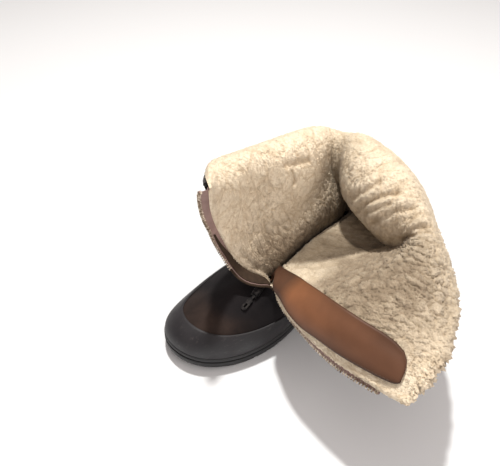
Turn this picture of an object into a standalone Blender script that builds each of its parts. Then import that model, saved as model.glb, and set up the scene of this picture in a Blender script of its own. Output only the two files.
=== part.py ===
"""Flying boot for the left foot, lined with sheepskin, standing empty on its sole.

The front zip is open to its slider. The shaft is slack: its right half stands up over the vamp, its left half
lies out to the wearer's left, and its back is buckled over in a thick roll. Metres, +Z up, +X to the wearer's
left, -Y to the toe. The origin is on the floor, under the ball of the foot.
"""
import math

import bmesh
import bpy
import numpy as np
from mathutils import Matrix, Vector
from mathutils.bvhtree import BVHTree

# ---- sole, from toe to heel -------------------------------------------------------------------------------
SOLE_LENGTH = 0.304
SOLE_THICK = 0.015          # forefoot
HEEL_HEIGHT = 0.014
SEAT_RISE = 0.011           # the foot's seat at the heel, above the forefoot
SEAT_RISE_Y = (-0.030, 0.095)
TOE_SPRING = 0.010
TOE_SPRING_Y = -0.100       # the tread leaves the floor in front of this
TOE_SPRING_BEND = 1.35      # 1 is a straight ramp
ARCH_Y = (0.014, 0.060)     # the tread climbs to the heel seat between these
HEEL_BREAST_Y = 0.066
GAP = 0.0003                # left between pieces that meet

EVEN_STEPS = 0.22           # moves points from the sole's sides to its ends and back, so that steps are even
# half-breadths of the sole, at equal steps of the angle that sets y = -length/2 * cos(angle)
SOLE_BREADTH = [  # station, wearer's right, wearer's left
    ("toe tip", -0.004, -0.004),
    ("toe", -0.034, 0.028),
    ("toe joint", -0.050, 0.050),
    ("ball", -0.053, 0.062),
    ("waist", -0.046, 0.056),
    ("arch", -0.040, 0.045),
    ("seat", -0.0385, 0.041),
    ("heel", -0.027, 0.029),
    ("heel tip", 0.001, 0.001),
]
SOLE_SIDE = [  # step of the side, inset from the outline, share of the height
    ("tread bevel", 0.0022, 0.00),
    ("tread edge", 0.0002, 0.13),
    ("lower band", 0.0000, 0.50),
    ("groove floor", 0.0016, 0.57),
    ("groove roof", 0.0016, 0.67),
    ("upper band", 0.0004, 0.74),
    ("band top", 0.0006, 0.94),
    ("welt edge", 0.0018, 1.00),
]
TREAD_GROOVES_Y = (-0.088, -0.072, -0.056, -0.040, -0.024, 0.016)
HEEL_GROOVES_Y = (0.086, 0.106, 0.126)
GROOVE_WIDE = 0.004
GROOVE_DEEP = 0.003
GROOVE_LONG = 0.200         # from side to side and past both
HEEL_SIDE = [  # step of the heel's side, inset from the outline, height
    ("tread bevel", 0.0040, 0.000),
    ("tread edge", 0.0022, 0.002),
    ("top", 0.0010, HEEL_HEIGHT - GAP),
]

# ---- foot of the upper ------------------------------------------------------------------------------------
WALL = 0.002
FEATHER_INSET = 0.003       # the upper's lower edge, in from the sole's outline
FEATHER_LIFT = 0.0006
RAND_THICK = 0.0016
INSOLE_THICK = 0.004
INSOLE_BEVEL = 0.0004
INSOLE_EASE = 0.0015        # the insole's edge, in from the upper's wall
FOOT_FORM = [  # station, start: rise and spread, end: run and climb, share of the wall under the rand
    ("toe", 0.090, 0.006, 0.080, 0.060, 0.34),
    ("right toe joint", 0.074, 0.003, 0.065, 0.060, 0.26),
    ("right waist", 0.092, 0.024, 0.080, 0.045, 0.26),
    ("right seat", 0.115, 0.022, 0.075, 0.030, 0.30),
    ("heel", 0.140, 0.026, 0.105, 0.000, 0.34),
    ("left seat", 0.120, 0.018, 0.045, 0.040, 0.33),
    ("left waist", 0.105, 0.034, 0.015, 0.055, 0.32),
    ("left toe joint", 0.105, 0.022, 0.045, 0.060, 0.32),
]

# ---- ankle: the collapsed tube where the foot ends and the shaft starts ----------------------------------
ANKLE_HALF = 0.014
ANKLE_FRONT = (0.036, -0.050, 0.078)
ANKLE_BACK = (0.038, 0.092, 0.098)
ANKLE_EASING = 1

# ---- shaft: the line from ankle to hem at nine stations round it, at quarters of its length --------------
SHAFT_FORM = [  # station, low, middle, high, hem
    ("right zip edge", (.008, -.062, .092), (-.010, -.073, .126), (-.008, -.086, .170), (.006, -.101, .212)),
    ("right front", (.008, -.034, .104), (-.008, -.031, .144), (-.016, -.036, .184), (-.038, -.054, .184)),
    ("right side", (.013, .014, .123), (.010, .012, .158), (-.006, .016, .190), (-.038, .024, .168)),
    ("right back", (.019, .065, .129), (.010, .072, .158), (-.001, .086, .181), (-.018, .102, .152)),
    ("back", (.052, .086, .122), (.056, .058, .154), (.062, .078, .188), (.074, .112, .152)),
    ("left back", (.096, .072, .106), (.110, .042, .144), (.118, .056, .170), (.132, .082, .132)),
    ("left side", (.098, .028, .104), (.134, .042, .122), (.158, .022, .150), (.186, .028, .122)),
    ("left front", (.074, -.044, .100), (.118, -.052, .122), (.168, -.050, .140), (.220, -.038, .126)),
    ("left zip edge", (.076, -.070, .088), (.122, -.084, .098), (.172, -.092, .104), (.224, -.092, .112)),
]
EDGE_COLUMNS = {  # share of the way round from the zip
    "zip line": 0.0,
    "leather": 0.010,
    "tape": 0.014,
    "fleece": 0.019,
    "facing": 0.034,
    "fleece past facing": 0.040,
    "fleece rising": 0.060,
}
INNER_COLUMNS = (0.090, 24)                 # first of the evenly spaced ones, and their number
SHAFT_ROWS = (0, .075, .13, .17, .24, .31, .38, .46, .54, .62, .70, .78, .86, .93, .965, .975, 1.0)
FLEECE_ROW = SHAFT_ROWS.index(.965)        # the fleece stops here, the hem binding starts one row on
RAND_ROWS = 4
VAMP_ROWS = 6

# ---- lining, zip, guard -----------------------------------------------------------------------------------
FLEECE_THICK = 0.009
FLEECE_GAP = 0.0006
FLEECE_EDGE_GAP = 0.0009                    # more of it where the pile is clipped short
FLEECE_EDGE_SHARE = 0.30                    # clipped short beside the zip
FLEECE_THROAT_ROWS = 3
FLEECE_RAMP = (0.037, 0.115)                # share of the way round over which it grows to full depth
TAPE_THICK = 0.0008
TAPE_ROWS = {"right": (1, 14), "left": (1, 13)}
CHAIN_RADIUS = 0.0015
CHAIN_GAP = 0.0008
STOP_SIZE = (0.0030, 0.0026, 0.0032)
FACING_THICK = 0.0010
FACING_ROWS = (1, 8)
SLIDER_SIZE = (0.0075, 0.0120, 0.0046)
SLIDER_SETBACK = 0.0010
SLIDER_LIFT = 0.0005
EAR_SIZE = (0.0012, 0.0040, 0.0030)
TAB_SIZE = (0.0070, 0.0150, 0.0012)
EAR_ROOT = 0.0010                           # how far the ears start inside the slider
BARREL_RADIUS = 0.0010
TAB_NECK = 0.0036
TAB_LIFT = 0.0012
GUARD_THICK = 0.0020
GUARD_LIFT = 0.0014                         # off the pile, and as much again and more at its free end
GUARD_END_LIFT = 0.0012
GUARD_ROWS = (1, 13)
GUARD_COLUMNS = 9                           # columns of the skin that it may reach over
GUARD_WIDE = 0.036
GUARD_ROUNDING = 0.25                       # share of the width taken off each side at the rounded end
GUARD_ACROSS = 7
BINDING_THICK = 0.0008

MATERIALS = {  # colour, roughness, metallic
    "rubber": ((0.028, 0.030, 0.032), 0.65, 0.0),
    "board": ((0.42, 0.33, 0.24), 0.85, 0.0),
    "suede": ((0.030, 0.020, 0.018), 0.95, 0.0),
    "black_leather": ((0.022, 0.022, 0.026), 0.45, 0.0),
    "fleece": ((0.78, 0.66, 0.48), 1.0, 0.0),
    "tape": ((0.23, 0.14, 0.12), 0.9, 0.0),
    "brass": ((0.33, 0.22, 0.12), 0.45, 1.0),
    "tan_leather": ((0.27, 0.11, 0.055), 0.5, 0.0),
    "brown_leather": ((0.12, 0.075, 0.05), 0.6, 0.0),
}


# ---- helpers ----------------------------------------------------------------------------------------------
def clear_scene():
    for thing in list(bpy.data.objects):
        bpy.data.objects.remove(thing, do_unlink=True)


def new_collection(name):
    collection = bpy.data.collections.new(name)
    bpy.context.scene.collection.children.link(collection)
    return collection


def material(name):
    colour, roughness, metallic = MATERIALS[name]
    made = bpy.data.materials.get(name) or bpy.data.materials.new(name)
    made.use_nodes = True
    shader = made.node_tree.nodes["Principled BSDF"]
    shader.inputs["Base Color"].default_value = (*colour, 1.0)
    shader.inputs["Roughness"].default_value = roughness
    shader.inputs["Metallic"].default_value = metallic
    return made


def spline(knots, values, at):
    """Natural cubic spline through values[k] at knots[k], read at each number of `at`."""
    knots = np.asarray(knots, float)
    values = np.asarray(values, float)
    at = np.asarray(at, float)
    count = len(knots)
    step = np.diff(knots)
    system = np.eye(count)
    right = np.zeros_like(values)
    for k in range(1, count - 1):
        system[k, k - 1:k + 2] = step[k - 1], 2 * (step[k - 1] + step[k]), step[k]
        right[k] = 6 * ((values[k + 1] - values[k]) / step[k] - (values[k] - values[k - 1]) / step[k - 1])
    bend = np.linalg.solve(system, right.reshape(count, -1)).reshape(values.shape)
    k = np.clip(np.searchsorted(knots, at) - 1, 0, count - 2)
    column = (-1,) + (1,) * (values.ndim - 1)
    t = (at - knots[k]).reshape(column)
    h = step[k].reshape(column)
    slope = (values[k + 1] - values[k]) / h - h * (2 * bend[k] + bend[k + 1]) / 6
    return values[k] + slope * t + bend[k] / 2 * t * t + (bend[k + 1] - bend[k]) / (6 * h) * t ** 3


def round_spline(values, at):
    """The same through a closed ring of values at equal steps of 0 to 1."""
    values = np.asarray(values, float)
    count = len(values)
    wrap = np.arange(-3, count + 4)
    return spline(wrap / count, values[wrap % count], np.asarray(at, float) % 1.0)


def ease(start, end, at):
    t = np.clip((np.asarray(at, float) - start) / (end - start), 0, 1)
    return t * t * (3 - 2 * t)


def mesh_object(name, points, faces, material_name, collection, smooth=True):
    mesh = bpy.data.meshes.new(name)
    mesh.from_pydata([tuple(map(float, p)) for p in points], [], faces)
    mesh.materials.append(material(material_name))
    if smooth:
        mesh.shade_smooth()
        mesh.set_sharp_from_angle(angle=math.radians(40))
    thing = bpy.data.objects.new(name, mesh)
    collection.objects.link(thing)
    return thing


def solidify(thing, thick, side):
    """Thickens an open surface: side -1 away from its normals, +1 along them."""
    modifier = thing.modifiers.new("wall", "SOLIDIFY")
    modifier.thickness = thick
    modifier.offset = side
    return thing


def cut(thing, cutter, operation="DIFFERENCE"):
    modifier = thing.modifiers.new(cutter.name, "BOOLEAN")
    modifier.operation = operation
    modifier.solver = "EXACT"
    modifier.object = cutter


def box_object(name, size, frame, material_name, collection, bevel=0.0):
    """A box of the given size whose own axes are the columns of `frame`."""
    mesh = bpy.data.meshes.new(name)
    form = bmesh.new()
    bmesh.ops.create_cube(form, size=1.0)
    bmesh.ops.scale(form, vec=size, verts=form.verts)
    form.to_mesh(mesh)
    form.free()
    mesh.materials.append(material(material_name))
    thing = bpy.data.objects.new(name, mesh)
    thing.matrix_world = frame
    collection.objects.link(thing)
    if bevel:
        modifier = thing.modifiers.new("edges", "BEVEL")
        modifier.width = bevel
        modifier.segments = 2
    return thing


def as_cutter(thing):
    thing.hide_render = True
    thing.display_type = "WIRE"
    return thing


def frame_at(origin, along_x, along_y):
    """Axes at `origin`: Y along `along_y`, X near `along_x`, Z square to both."""
    y = Vector(along_y).normalized()
    z = Vector(along_x).cross(y).normalized()
    x = y.cross(z)
    matrix = Matrix((x, y, z)).transposed().to_4x4()
    matrix.translation = Vector(origin)
    return matrix


# ---- sole -------------------------------------------------------------------------------------------------
def sole_outline(at, inset=0.0):
    """Points of the sole's outline, from the toe (0) by the wearer's right (0.25), heel (0.5) and left."""
    right = [row[1] for row in SOLE_BREADTH]
    left = [row[2] for row in SOLE_BREADTH]
    ring = right + left[-2:0:-1]

    def plain(t):
        return np.stack([round_spline(ring, t), -SOLE_LENGTH / 2 * np.cos(2 * np.pi * t)], axis=-1)

    at = np.asarray(at, float)
    at = at + EVEN_STEPS / (4 * np.pi) * np.sin(4 * np.pi * at)
    tangent = plain(at + 1e-4) - plain(at - 1e-4)
    tangent /= np.linalg.norm(tangent, axis=-1, keepdims=True)
    inward = np.stack([tangent[..., 1], -tangent[..., 0]], axis=-1)
    return plain(at) + inset * inward


def toe_spring(y):
    past = np.clip((TOE_SPRING_Y - y) / (TOE_SPRING_Y + SOLE_LENGTH / 2), 0, None)
    return TOE_SPRING * past ** TOE_SPRING_BEND


def tread_height(y):
    return toe_spring(y) + HEEL_HEIGHT * ease(*ARCH_Y, y)


def seat_height(y):
    """Top of the outsole, which the upper and the insole stand on."""
    return toe_spring(y) + SOLE_THICK + SEAT_RISE * ease(*SEAT_RISE_Y, y)


def plate(name, rings, material_name, collection):
    """A closed solid from equal rings, bottom to top, each running toe, right, heel, left."""
    count = len(rings[0])
    half = count // 2
    points = [point for ring in rings for point in ring]
    faces = []
    for level in range(len(rings) - 1):
        for i in range(count):
            a, b = level * count + i, level * count + (i + 1) % count
            faces.append((a, a + count, b + count, b))
    top = (len(rings) - 1) * count
    for i in range(half):
        mirror, mirror_next = (count - i) % count, count - i - 1
        strip = list(dict.fromkeys((i, i + 1, mirror_next, mirror)))
        faces.append(tuple(strip))
        faces.append(tuple(top + k for k in reversed(strip)))
    return mesh_object(name, points, faces, material_name, collection)


def groove_cutter(name, places, top, collection):
    """Bars across the tread, one for each groove, as one cutter."""
    mesh = bpy.data.meshes.new(name)
    form = bmesh.new()
    for y in places:
        made = bmesh.ops.create_cube(form, size=1.0)
        bmesh.ops.scale(form, vec=(GROOVE_LONG, GROOVE_WIDE, 2 * GROOVE_DEEP), verts=made["verts"])
        bmesh.ops.translate(form, vec=(0, y, top - GROOVE_DEEP), verts=made["verts"])
    form.to_mesh(mesh)
    form.free()
    thing = bpy.data.objects.new(name, mesh)
    collection.objects.link(thing)
    return as_cutter(thing)


def make_outsole(parts, cutters):
    at = np.arange(48) / 48
    rings = []
    for _, inset, share in SOLE_SIDE:
        ring = sole_outline(at, inset)
        low, high = tread_height(ring[:, 1]), seat_height(ring[:, 1])
        rings.append([(x, y, z) for (x, y), z in zip(ring, low + share * (high - low))])
    outsole = plate("outsole", rings, "rubber", parts)
    cut(outsole, groove_cutter("tread_grooves", TREAD_GROOVES_Y, GROOVE_DEEP, cutters))


def make_heel(parts, cutters):
    start = math.acos(-2 * HEEL_BREAST_Y / SOLE_LENGTH) / (2 * math.pi)
    at = np.linspace(start, 1 - start, 23)
    points = []
    for _, inset, z in HEEL_SIDE:
        ring = sole_outline(at, inset)
        ring[(0, -1), 1] = HEEL_BREAST_Y - 0.1 * inset
        points += [(x, y, z) for x, y in ring]
    count = len(at)
    faces = [tuple(range(count)), tuple(range(3 * count - 1, 2 * count - 1, -1))]
    for level in range(2):
        for i in range(count):
            a, b = level * count + i, level * count + (i + 1) % count
            faces.append((a, a + count, b + count, b))
    heel = mesh_object("heel", points, faces, "rubber", parts)
    cut(heel, groove_cutter("heel_grooves", HEEL_GROOVES_Y, GROOVE_DEEP, cutters))


def make_insole(parts):
    at = np.arange(48) / 48
    inset = FEATHER_INSET + WALL + INSOLE_EASE
    rings = []
    for lift, trim in ((GAP, 0.0), (GAP + INSOLE_THICK, INSOLE_BEVEL)):
        ring = sole_outline(at, inset + trim)
        rings.append([(x, y, z + lift) for (x, y), z in zip(ring, seat_height(ring[:, 1]))])
    plate("insole", rings, "board", parts)


# ---- the skin: outer surface of foot and shaft, which all soft pieces are read from ------------------------
def ankle_ring(at):
    """A flattened tube, seen from above: 0 at the zip, 0.25 wearer's right, 0.5 back, 0.75 left."""
    front, back = np.array(ANKLE_FRONT), np.array(ANKLE_BACK)
    straight = back[1] - front[1] - 2 * ANKLE_HALF
    quarter = math.pi * ANKLE_HALF / 2
    points = []
    for t in np.asarray(at, float) * (2 * straight + 4 * quarter):
        if t <= quarter:
            x, y = -math.sin(t / ANKLE_HALF), 1 - math.cos(t / ANKLE_HALF)
        elif t <= quarter + straight:
            x, y = -1, 1 + (t - quarter) / ANKLE_HALF
        elif t <= 3 * quarter + straight:
            turn = (t - quarter - straight) / ANKLE_HALF
            x, y = -math.cos(turn), 1 + straight / ANKLE_HALF + math.sin(turn)
        elif t <= 3 * quarter + 2 * straight:
            x, y = 1, 1 + (3 * quarter + 2 * straight - t) / ANKLE_HALF
        else:
            turn = (t - 3 * quarter - 2 * straight) / ANKLE_HALF
            x, y = math.cos(turn), 1 - math.sin(turn)
        share = y * ANKLE_HALF / (back[1] - front[1])
        spot = front + share * (back - front)
        points.append((spot[0] + x * ANKLE_HALF, spot[1], spot[2]))
    return np.array(points)


def foot_rows(columns):
    """Rows of points from the feather edge to the ankle, and the last of them is the ankle ring."""
    form = round_spline([row[1:] for row in FOOT_FORM], columns)
    feather = sole_outline(columns, FEATHER_INSET)
    start = np.column_stack([feather, seat_height(feather[:, 1]) + FEATHER_LIFT])
    outward = feather - sole_outline(columns, FEATHER_INSET + 0.001)
    outward /= np.linalg.norm(outward, axis=1, keepdims=True)
    end = ankle_ring(columns)
    inward = end[:, :2] - feather
    inward /= np.linalg.norm(inward, axis=1, keepdims=True)
    rise, spread, run, climb, rand = form.T
    leave = np.column_stack([outward * spread[:, None], rise])
    arrive = np.column_stack([inward * run[:, None], climb])
    rows = []
    for row in range(RAND_ROWS + VAMP_ROWS + 1):
        if row <= RAND_ROWS:
            share = rand * row / RAND_ROWS
        else:
            share = rand + (1 - rand) * (row - RAND_ROWS) / VAMP_ROWS
        s = share[:, None]
        rows.append((1 + 2 * s) * (1 - s) ** 2 * start + s * (1 - s) ** 2 * leave
                    + s * s * (3 - 2 * s) * end + s * s * (s - 1) * arrive)
    return rows


def shaft_rows(columns):
    """Rows from the ankle ring to the hem. The first and last columns are the two edges of the zip."""
    stations = np.linspace(0, 1, len(SHAFT_FORM))
    levels = [ankle_ring(np.minimum(columns, 1 - 1e-9))]
    for level in (1, 2, 3, 4):
        levels.append(spline(stations, [row[level] for row in SHAFT_FORM], columns))
    return list(spline(np.linspace(0, 1, 5), levels, SHAFT_ROWS))


def round_the_ankle(foot, shaft):
    """Eases the fold between foot and shaft: rings beside the ankle move toward their neighbours."""
    for _ in range(ANKLE_EASING):
        ring, below, above = foot[-1], foot[-2], shaft[1]
        across = (below + above[:-1]) / 2
        across[0] = (below[0] * 2 + above[0] + above[-1]) / 4
        eased = ring + 0.5 * (across - ring)
        below_eased = below + 0.35 * ((foot[-3] + ring) / 2 - below)
        lifted = np.vstack([ring, ring[:1]])
        above_eased = above + 0.35 * ((shaft[2] + lifted) / 2 - above)
        foot[-1], foot[-2], shaft[1] = eased, below_eased, above_eased
        shaft[0] = np.vstack([eased, eased[:1]])


class Skin:
    """The outer surface of the upper: numbered points with normals, and cells by row and column."""

    def __init__(self):
        first, count = INNER_COLUMNS
        inner = np.linspace(first, 1 - first, count)
        edge = np.array(list(EDGE_COLUMNS.values()))
        self.columns = np.concatenate([edge, inner, 1 - edge[::-1]])
        self.wide = len(self.columns)
        self.first = {name: k for k, name in enumerate(EDGE_COLUMNS)}
        self.last = {name: self.wide - 1 - k for name, k in self.first.items()}
        foot = foot_rows(self.columns[:-1])
        shaft = shaft_rows(self.columns)
        round_the_ankle(foot, shaft)
        self.foot_high = len(foot) - 1
        self.shaft_high = len(shaft) - 1
        self.points = np.concatenate(foot + shaft[1:])
        self.foot_tree = BVHTree.FromPolygons(self.points.tolist(), self.foot_cells(0, self.foot_high))
        leather = self.leather_cells()
        strips = self.shaft_cells(0, self.shaft_high, 0, 1)
        strips += self.shaft_cells(0, self.shaft_high, self.wide - 2, self.wide - 1)
        self.normals = self.point_normals(leather + strips)
        in_leather = sorted({index for cell in leather for index in cell})
        self.normals[in_leather] = self.point_normals(leather)[in_leather]

    def point_normals(self, cells):
        mesh = bpy.data.meshes.new("skin")
        mesh.from_pydata(self.points.tolist(), [], cells)
        normals = np.array([tuple(item.vector) for item in mesh.vertex_normals])
        bpy.data.meshes.remove(mesh)
        return normals

    def foot_point(self, row, column):
        return row * (self.wide - 1) + column % (self.wide - 1)

    def shaft_point(self, row, column):
        if row == 0:
            return self.foot_point(self.foot_high, column)
        return (self.foot_high + 1) * (self.wide - 1) + (row - 1) * self.wide + column

    def cells(self, point, rows, columns):
        return [(point(r, c), point(r + 1, c), point(r + 1, c + 1), point(r, c + 1))
                for r in range(*rows) for c in range(*columns)]

    def foot_cells(self, low, high):
        return self.cells(self.foot_point, (low, high), (0, self.wide - 1))

    def shaft_cells(self, low, high, first, last):
        return self.cells(self.shaft_point, (low, high), (first, last))

    def leather_cells(self):
        shaft = self.shaft_cells(0, self.shaft_high, self.first["leather"], self.last["leather"])
        return self.foot_cells(0, self.foot_high) + shaft

    def at_depth(self, index, depth):
        return self.points[index] - np.reshape(depth, (-1, 1)) * self.normals[index]

    def piece(self, name, cells, depth, material_name, collection):
        """An open surface of the given cells, `depth` inside the skin."""
        used = sorted({index for cell in cells for index in cell})
        number = {index: k for k, index in enumerate(used)}
        faces = [tuple(number[index] for index in cell) for cell in cells]
        return mesh_object(name, self.at_depth(used, depth), faces, material_name, collection)


# ---- soft pieces ------------------------------------------------------------------------------------------
def make_upper(skin, parts):
    solidify(skin.piece("upper", skin.leather_cells(), 0.0, "suede", parts), WALL, -1)


def make_rand(skin, parts):
    rand = skin.piece("rand", skin.foot_cells(0, RAND_ROWS), -GAP, "black_leather", parts)
    solidify(rand, RAND_THICK, 1)


def grown_at(skin, index):
    """How far the pile is grown, 0 to 1: it is clipped short beside the zip and at the zip's lower end."""
    first_shaft = skin.shaft_point(1, 0)
    if index < first_shaft:
        row, place = divmod(index, skin.wide - 1)
        below = (skin.foot_high - row) / FLEECE_THROAT_ROWS
    else:
        place, below = (index - first_shaft) % skin.wide, 0.0
    column = skin.columns[place]
    return max(float(ease(*FLEECE_RAMP, min(column, 1 - column))), min(below, 1.0))


def pile_at(skin, index):
    return FLEECE_THICK * (FLEECE_EDGE_SHARE + (1 - FLEECE_EDGE_SHARE) * grown_at(skin, index))


def make_lining(skin, parts):
    """The pile varies in depth, so its back and its face are both read from the skin and joined by a rim."""
    edges = (skin.first["fleece"], skin.last["fleece"])
    low_edges = (skin.first["fleece past facing"], skin.last["fleece past facing"])
    facing_end = FACING_ROWS[1] + 1
    cells = skin.foot_cells(1, skin.foot_high)
    cells += skin.shaft_cells(0, FLEECE_THROAT_ROWS, *low_edges)
    cells += skin.shaft_cells(FLEECE_THROAT_ROWS, facing_end, low_edges[0], edges[1])
    cells += skin.shaft_cells(facing_end, FLEECE_ROW, *edges)
    used = sorted({index for cell in cells for index in cell})
    count = len(used)
    number = {index: k for k, index in enumerate(used)}
    gaps = [FLEECE_GAP + FLEECE_EDGE_GAP * (1 - grown_at(skin, index)) for index in used]
    back = skin.at_depth(used, WALL + np.array(gaps))
    face = skin.at_depth(used, [WALL + FLEECE_GAP + pile_at(skin, index) for index in used])
    lowest = skin.wide - 1
    face[:lowest, 2] = back[:lowest, 2]         # the lower edge is cut level, over the insole
    faces, sides = [], set()
    for a, b, c, d in ([number[index] for index in cell] for cell in cells):
        faces += [(a, b, c, d), (a + count, d + count, c + count, b + count)]
        sides.update(((a, b), (b, c), (c, d), (d, a)))
    rim = [(a, b) for a, b in sides if (b, a) not in sides]
    faces += [(b, a, a + count, b + count) for a, b in sorted(rim)]
    mesh_object("fleece_lining", np.concatenate([back, face]), faces, "fleece", parts)


def make_tapes(skin, parts):
    right = (skin.first["zip line"], skin.first["tape"])
    left = (skin.last["tape"], skin.last["zip line"])
    for side, span in (("right", right), ("left", left)):
        cells = skin.shaft_cells(*TAPE_ROWS[side], *span)
        solidify(skin.piece("zip_tape_" + side, cells, WALL + GAP, "tape", parts), TAPE_THICK, -1)


def make_facing(skin, parts):
    """The leather strip between the right tape and the fleece, in the lower part of the opening."""
    cells = skin.shaft_cells(*FACING_ROWS, skin.first["fleece"], skin.first["facing"])
    solidify(skin.piece("zip_facing", cells, WALL + GAP, "brown_leather", parts), FACING_THICK, -1)


def make_guard(skin, parts):
    """The tan flap on the fleece of the left half: sewn beside the zip, free on its other side."""
    low, high = GUARD_ROWS
    columns = np.arange(skin.last["fleece"], skin.last["fleece"] - GUARD_COLUMNS, -1)
    points = []
    for row in range(low, high + 1):
        ring = [skin.shaft_point(row, column) for column in columns]
        near_end = max(0.0, 1 - (high - row) / 2)
        lift = WALL + FLEECE_GAP + GUARD_LIFT + GUARD_END_LIFT * near_end
        line = skin.at_depth(ring, [lift + pile_at(skin, index) for index in ring])
        along = np.concatenate([[0.0], np.cumsum(np.linalg.norm(np.diff(line, axis=0), axis=1))])
        trim = GUARD_ROUNDING * near_end ** 2 * GUARD_WIDE
        places = np.linspace(trim, GUARD_WIDE - trim, GUARD_ACROSS)
        points += list(np.stack([np.interp(places, along, line[:, k]) for k in range(3)], axis=1))
    faces = []
    for row in range(high - low):
        for k in range(GUARD_ACROSS - 1):
            a = row * GUARD_ACROSS + k
            faces.append((a, a + 1, a + 1 + GUARD_ACROSS, a + GUARD_ACROSS))
    solidify(mesh_object("zip_guard", points, faces, "tan_leather", parts), GUARD_THICK, -1)


def make_binding(skin, parts):
    """A thin strip folded over the hem of the leather, U-shaped in section."""
    out, inside = GAP, WALL + GAP
    points = []
    first, last = skin.first["leather"], skin.last["leather"]
    for column in range(first, last + 1):
        under, hem = skin.shaft_point(skin.shaft_high - 1, column), skin.shaft_point(skin.shaft_high, column)
        up = skin.points[hem] - skin.points[under]
        up /= np.linalg.norm(up)
        low, low_normal = skin.points[under], skin.normals[under]
        top, top_normal = skin.points[hem], skin.normals[hem]
        points += [
            low + out * low_normal,
            low + (out + BINDING_THICK) * low_normal,
            top + (GAP + BINDING_THICK) * up + (out + BINDING_THICK) * top_normal,
            top + (GAP + BINDING_THICK) * up - (inside + BINDING_THICK) * top_normal,
            low - (inside + BINDING_THICK) * low_normal,
            low - inside * low_normal,
            top + GAP * up - inside * top_normal,
            top + GAP * up + out * top_normal,
        ]
    faces = []
    for i in range(last - first):
        for k in range(7):
            a = 8 * i + k
            faces.append((a, a + 1, a + 9, a + 8))
        low, top = 8 * i, 8 * i + 7
        faces.append((low, low + 8, top + 8, top))   # from its low corner, to fold as the leather does
    end = 8 * (last - first)
    for quad in ((0, 1, 2, 7), (2, 3, 6, 7), (3, 4, 5, 6)):
        faces.append(tuple(reversed(quad)))
        faces.append(tuple(end + k for k in quad))
    mesh_object("hem_binding", points, faces, "black_leather", parts)


# ---- zip --------------------------------------------------------------------------------------------------
def edge_line(skin, side):
    """Points just outside the tape's edge, where the chain runs, with the outward direction at each."""
    side_columns = skin.first if side == "right" else skin.last
    edge, beside = side_columns["zip line"], side_columns["leather"]
    low, high = TAPE_ROWS[side]
    spots, outs = [], []
    for row in range(low, high + 1):
        here, inner = skin.shaft_point(row, edge), skin.shaft_point(row, beside)
        out = skin.points[here] - skin.points[inner]
        out /= np.linalg.norm(out)
        depth = WALL + GAP + TAPE_THICK / 2
        spots.append(skin.points[here] - depth * skin.normals[here] + (CHAIN_RADIUS + CHAIN_GAP) * out)
        outs.append(out)
    return np.array(spots), np.array(outs)


def make_chain(skin, side, parts):
    spots, _ = edge_line(skin, side)
    curve = bpy.data.curves.new("zip_chain_" + side, "CURVE")
    curve.dimensions = "3D"
    curve.bevel_depth = CHAIN_RADIUS
    curve.bevel_resolution = 1
    curve.use_fill_caps = True
    line = curve.splines.new("POLY")
    line.points.add(len(spots) - 2)
    for point, spot in zip(line.points, spots[:-1]):
        point.co = (*spot, 1.0)
    curve.materials.append(material("brass"))
    parts.objects.link(bpy.data.objects.new("zip_chain_" + side, curve))


def make_top_stop(skin, side, parts):
    spots, outs = edge_line(skin, side)
    along = spots[-1] - spots[-2]
    along /= np.linalg.norm(along)
    centre = spots[-2] + along * (GAP + STOP_SIZE[1] / 2)
    box_object("zip_stop_" + side, STOP_SIZE, frame_at(centre, outs[-1], along), "brass", parts, 0.0005)


def vamp_under(skin, x, y):
    """The point of the foot's outer surface straight below (x, y)."""
    return skin.foot_tree.ray_cast(Vector((x, y, 0.2)), Vector((0, 0, -1)))[0]


def slider_frame(skin):
    """The slider lies on the vamp below the opening. The origin is under its toe end, and Y runs uphill."""
    throat = skin.points[skin.foot_point(skin.foot_high, 0)]
    top = vamp_under(skin, throat[0], throat[1] - SLIDER_SETBACK)
    foot = vamp_under(skin, throat[0], throat[1] - SLIDER_SETBACK - SLIDER_SIZE[1])
    return frame_at(foot, (1, 0, 0), top - foot)


def make_slider(skin, parts, cutters):
    long, high = SLIDER_SIZE[1:]
    body = slider_frame(skin) @ Matrix.Translation((0, long / 2, SLIDER_LIFT + high / 2))
    slider = box_object("zip_slider", SLIDER_SIZE, body, "brass", parts)
    for side in (-1, 1):
        spot = (side * (TAB_SIZE[0] - EAR_SIZE[0]) / 2, EAR_ROOT - (long + EAR_SIZE[1]) / 2, 0)
        ear = box_object("ear", EAR_SIZE, body @ Matrix.Translation(spot), "brass", cutters)
        cut(slider, as_cutter(ear), "UNION")


def hinge_frame(skin):
    """The pull tab's hinge between the slider's ears: its axis is the frame's X, and the tab lies along -Y."""
    ahead = EAR_SIZE[1] - EAR_ROOT - BARREL_RADIUS - GAP
    pivot = slider_frame(skin) @ Vector((0, -ahead, SLIDER_LIFT + SLIDER_SIZE[2] / 2))
    rest = vamp_under(skin, pivot.x, pivot.y - TAB_NECK - TAB_SIZE[1])
    rest.z += TAB_LIFT + TAB_SIZE[2] / 2
    return frame_at(pivot, (1, 0, 0), pivot - rest)


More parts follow.
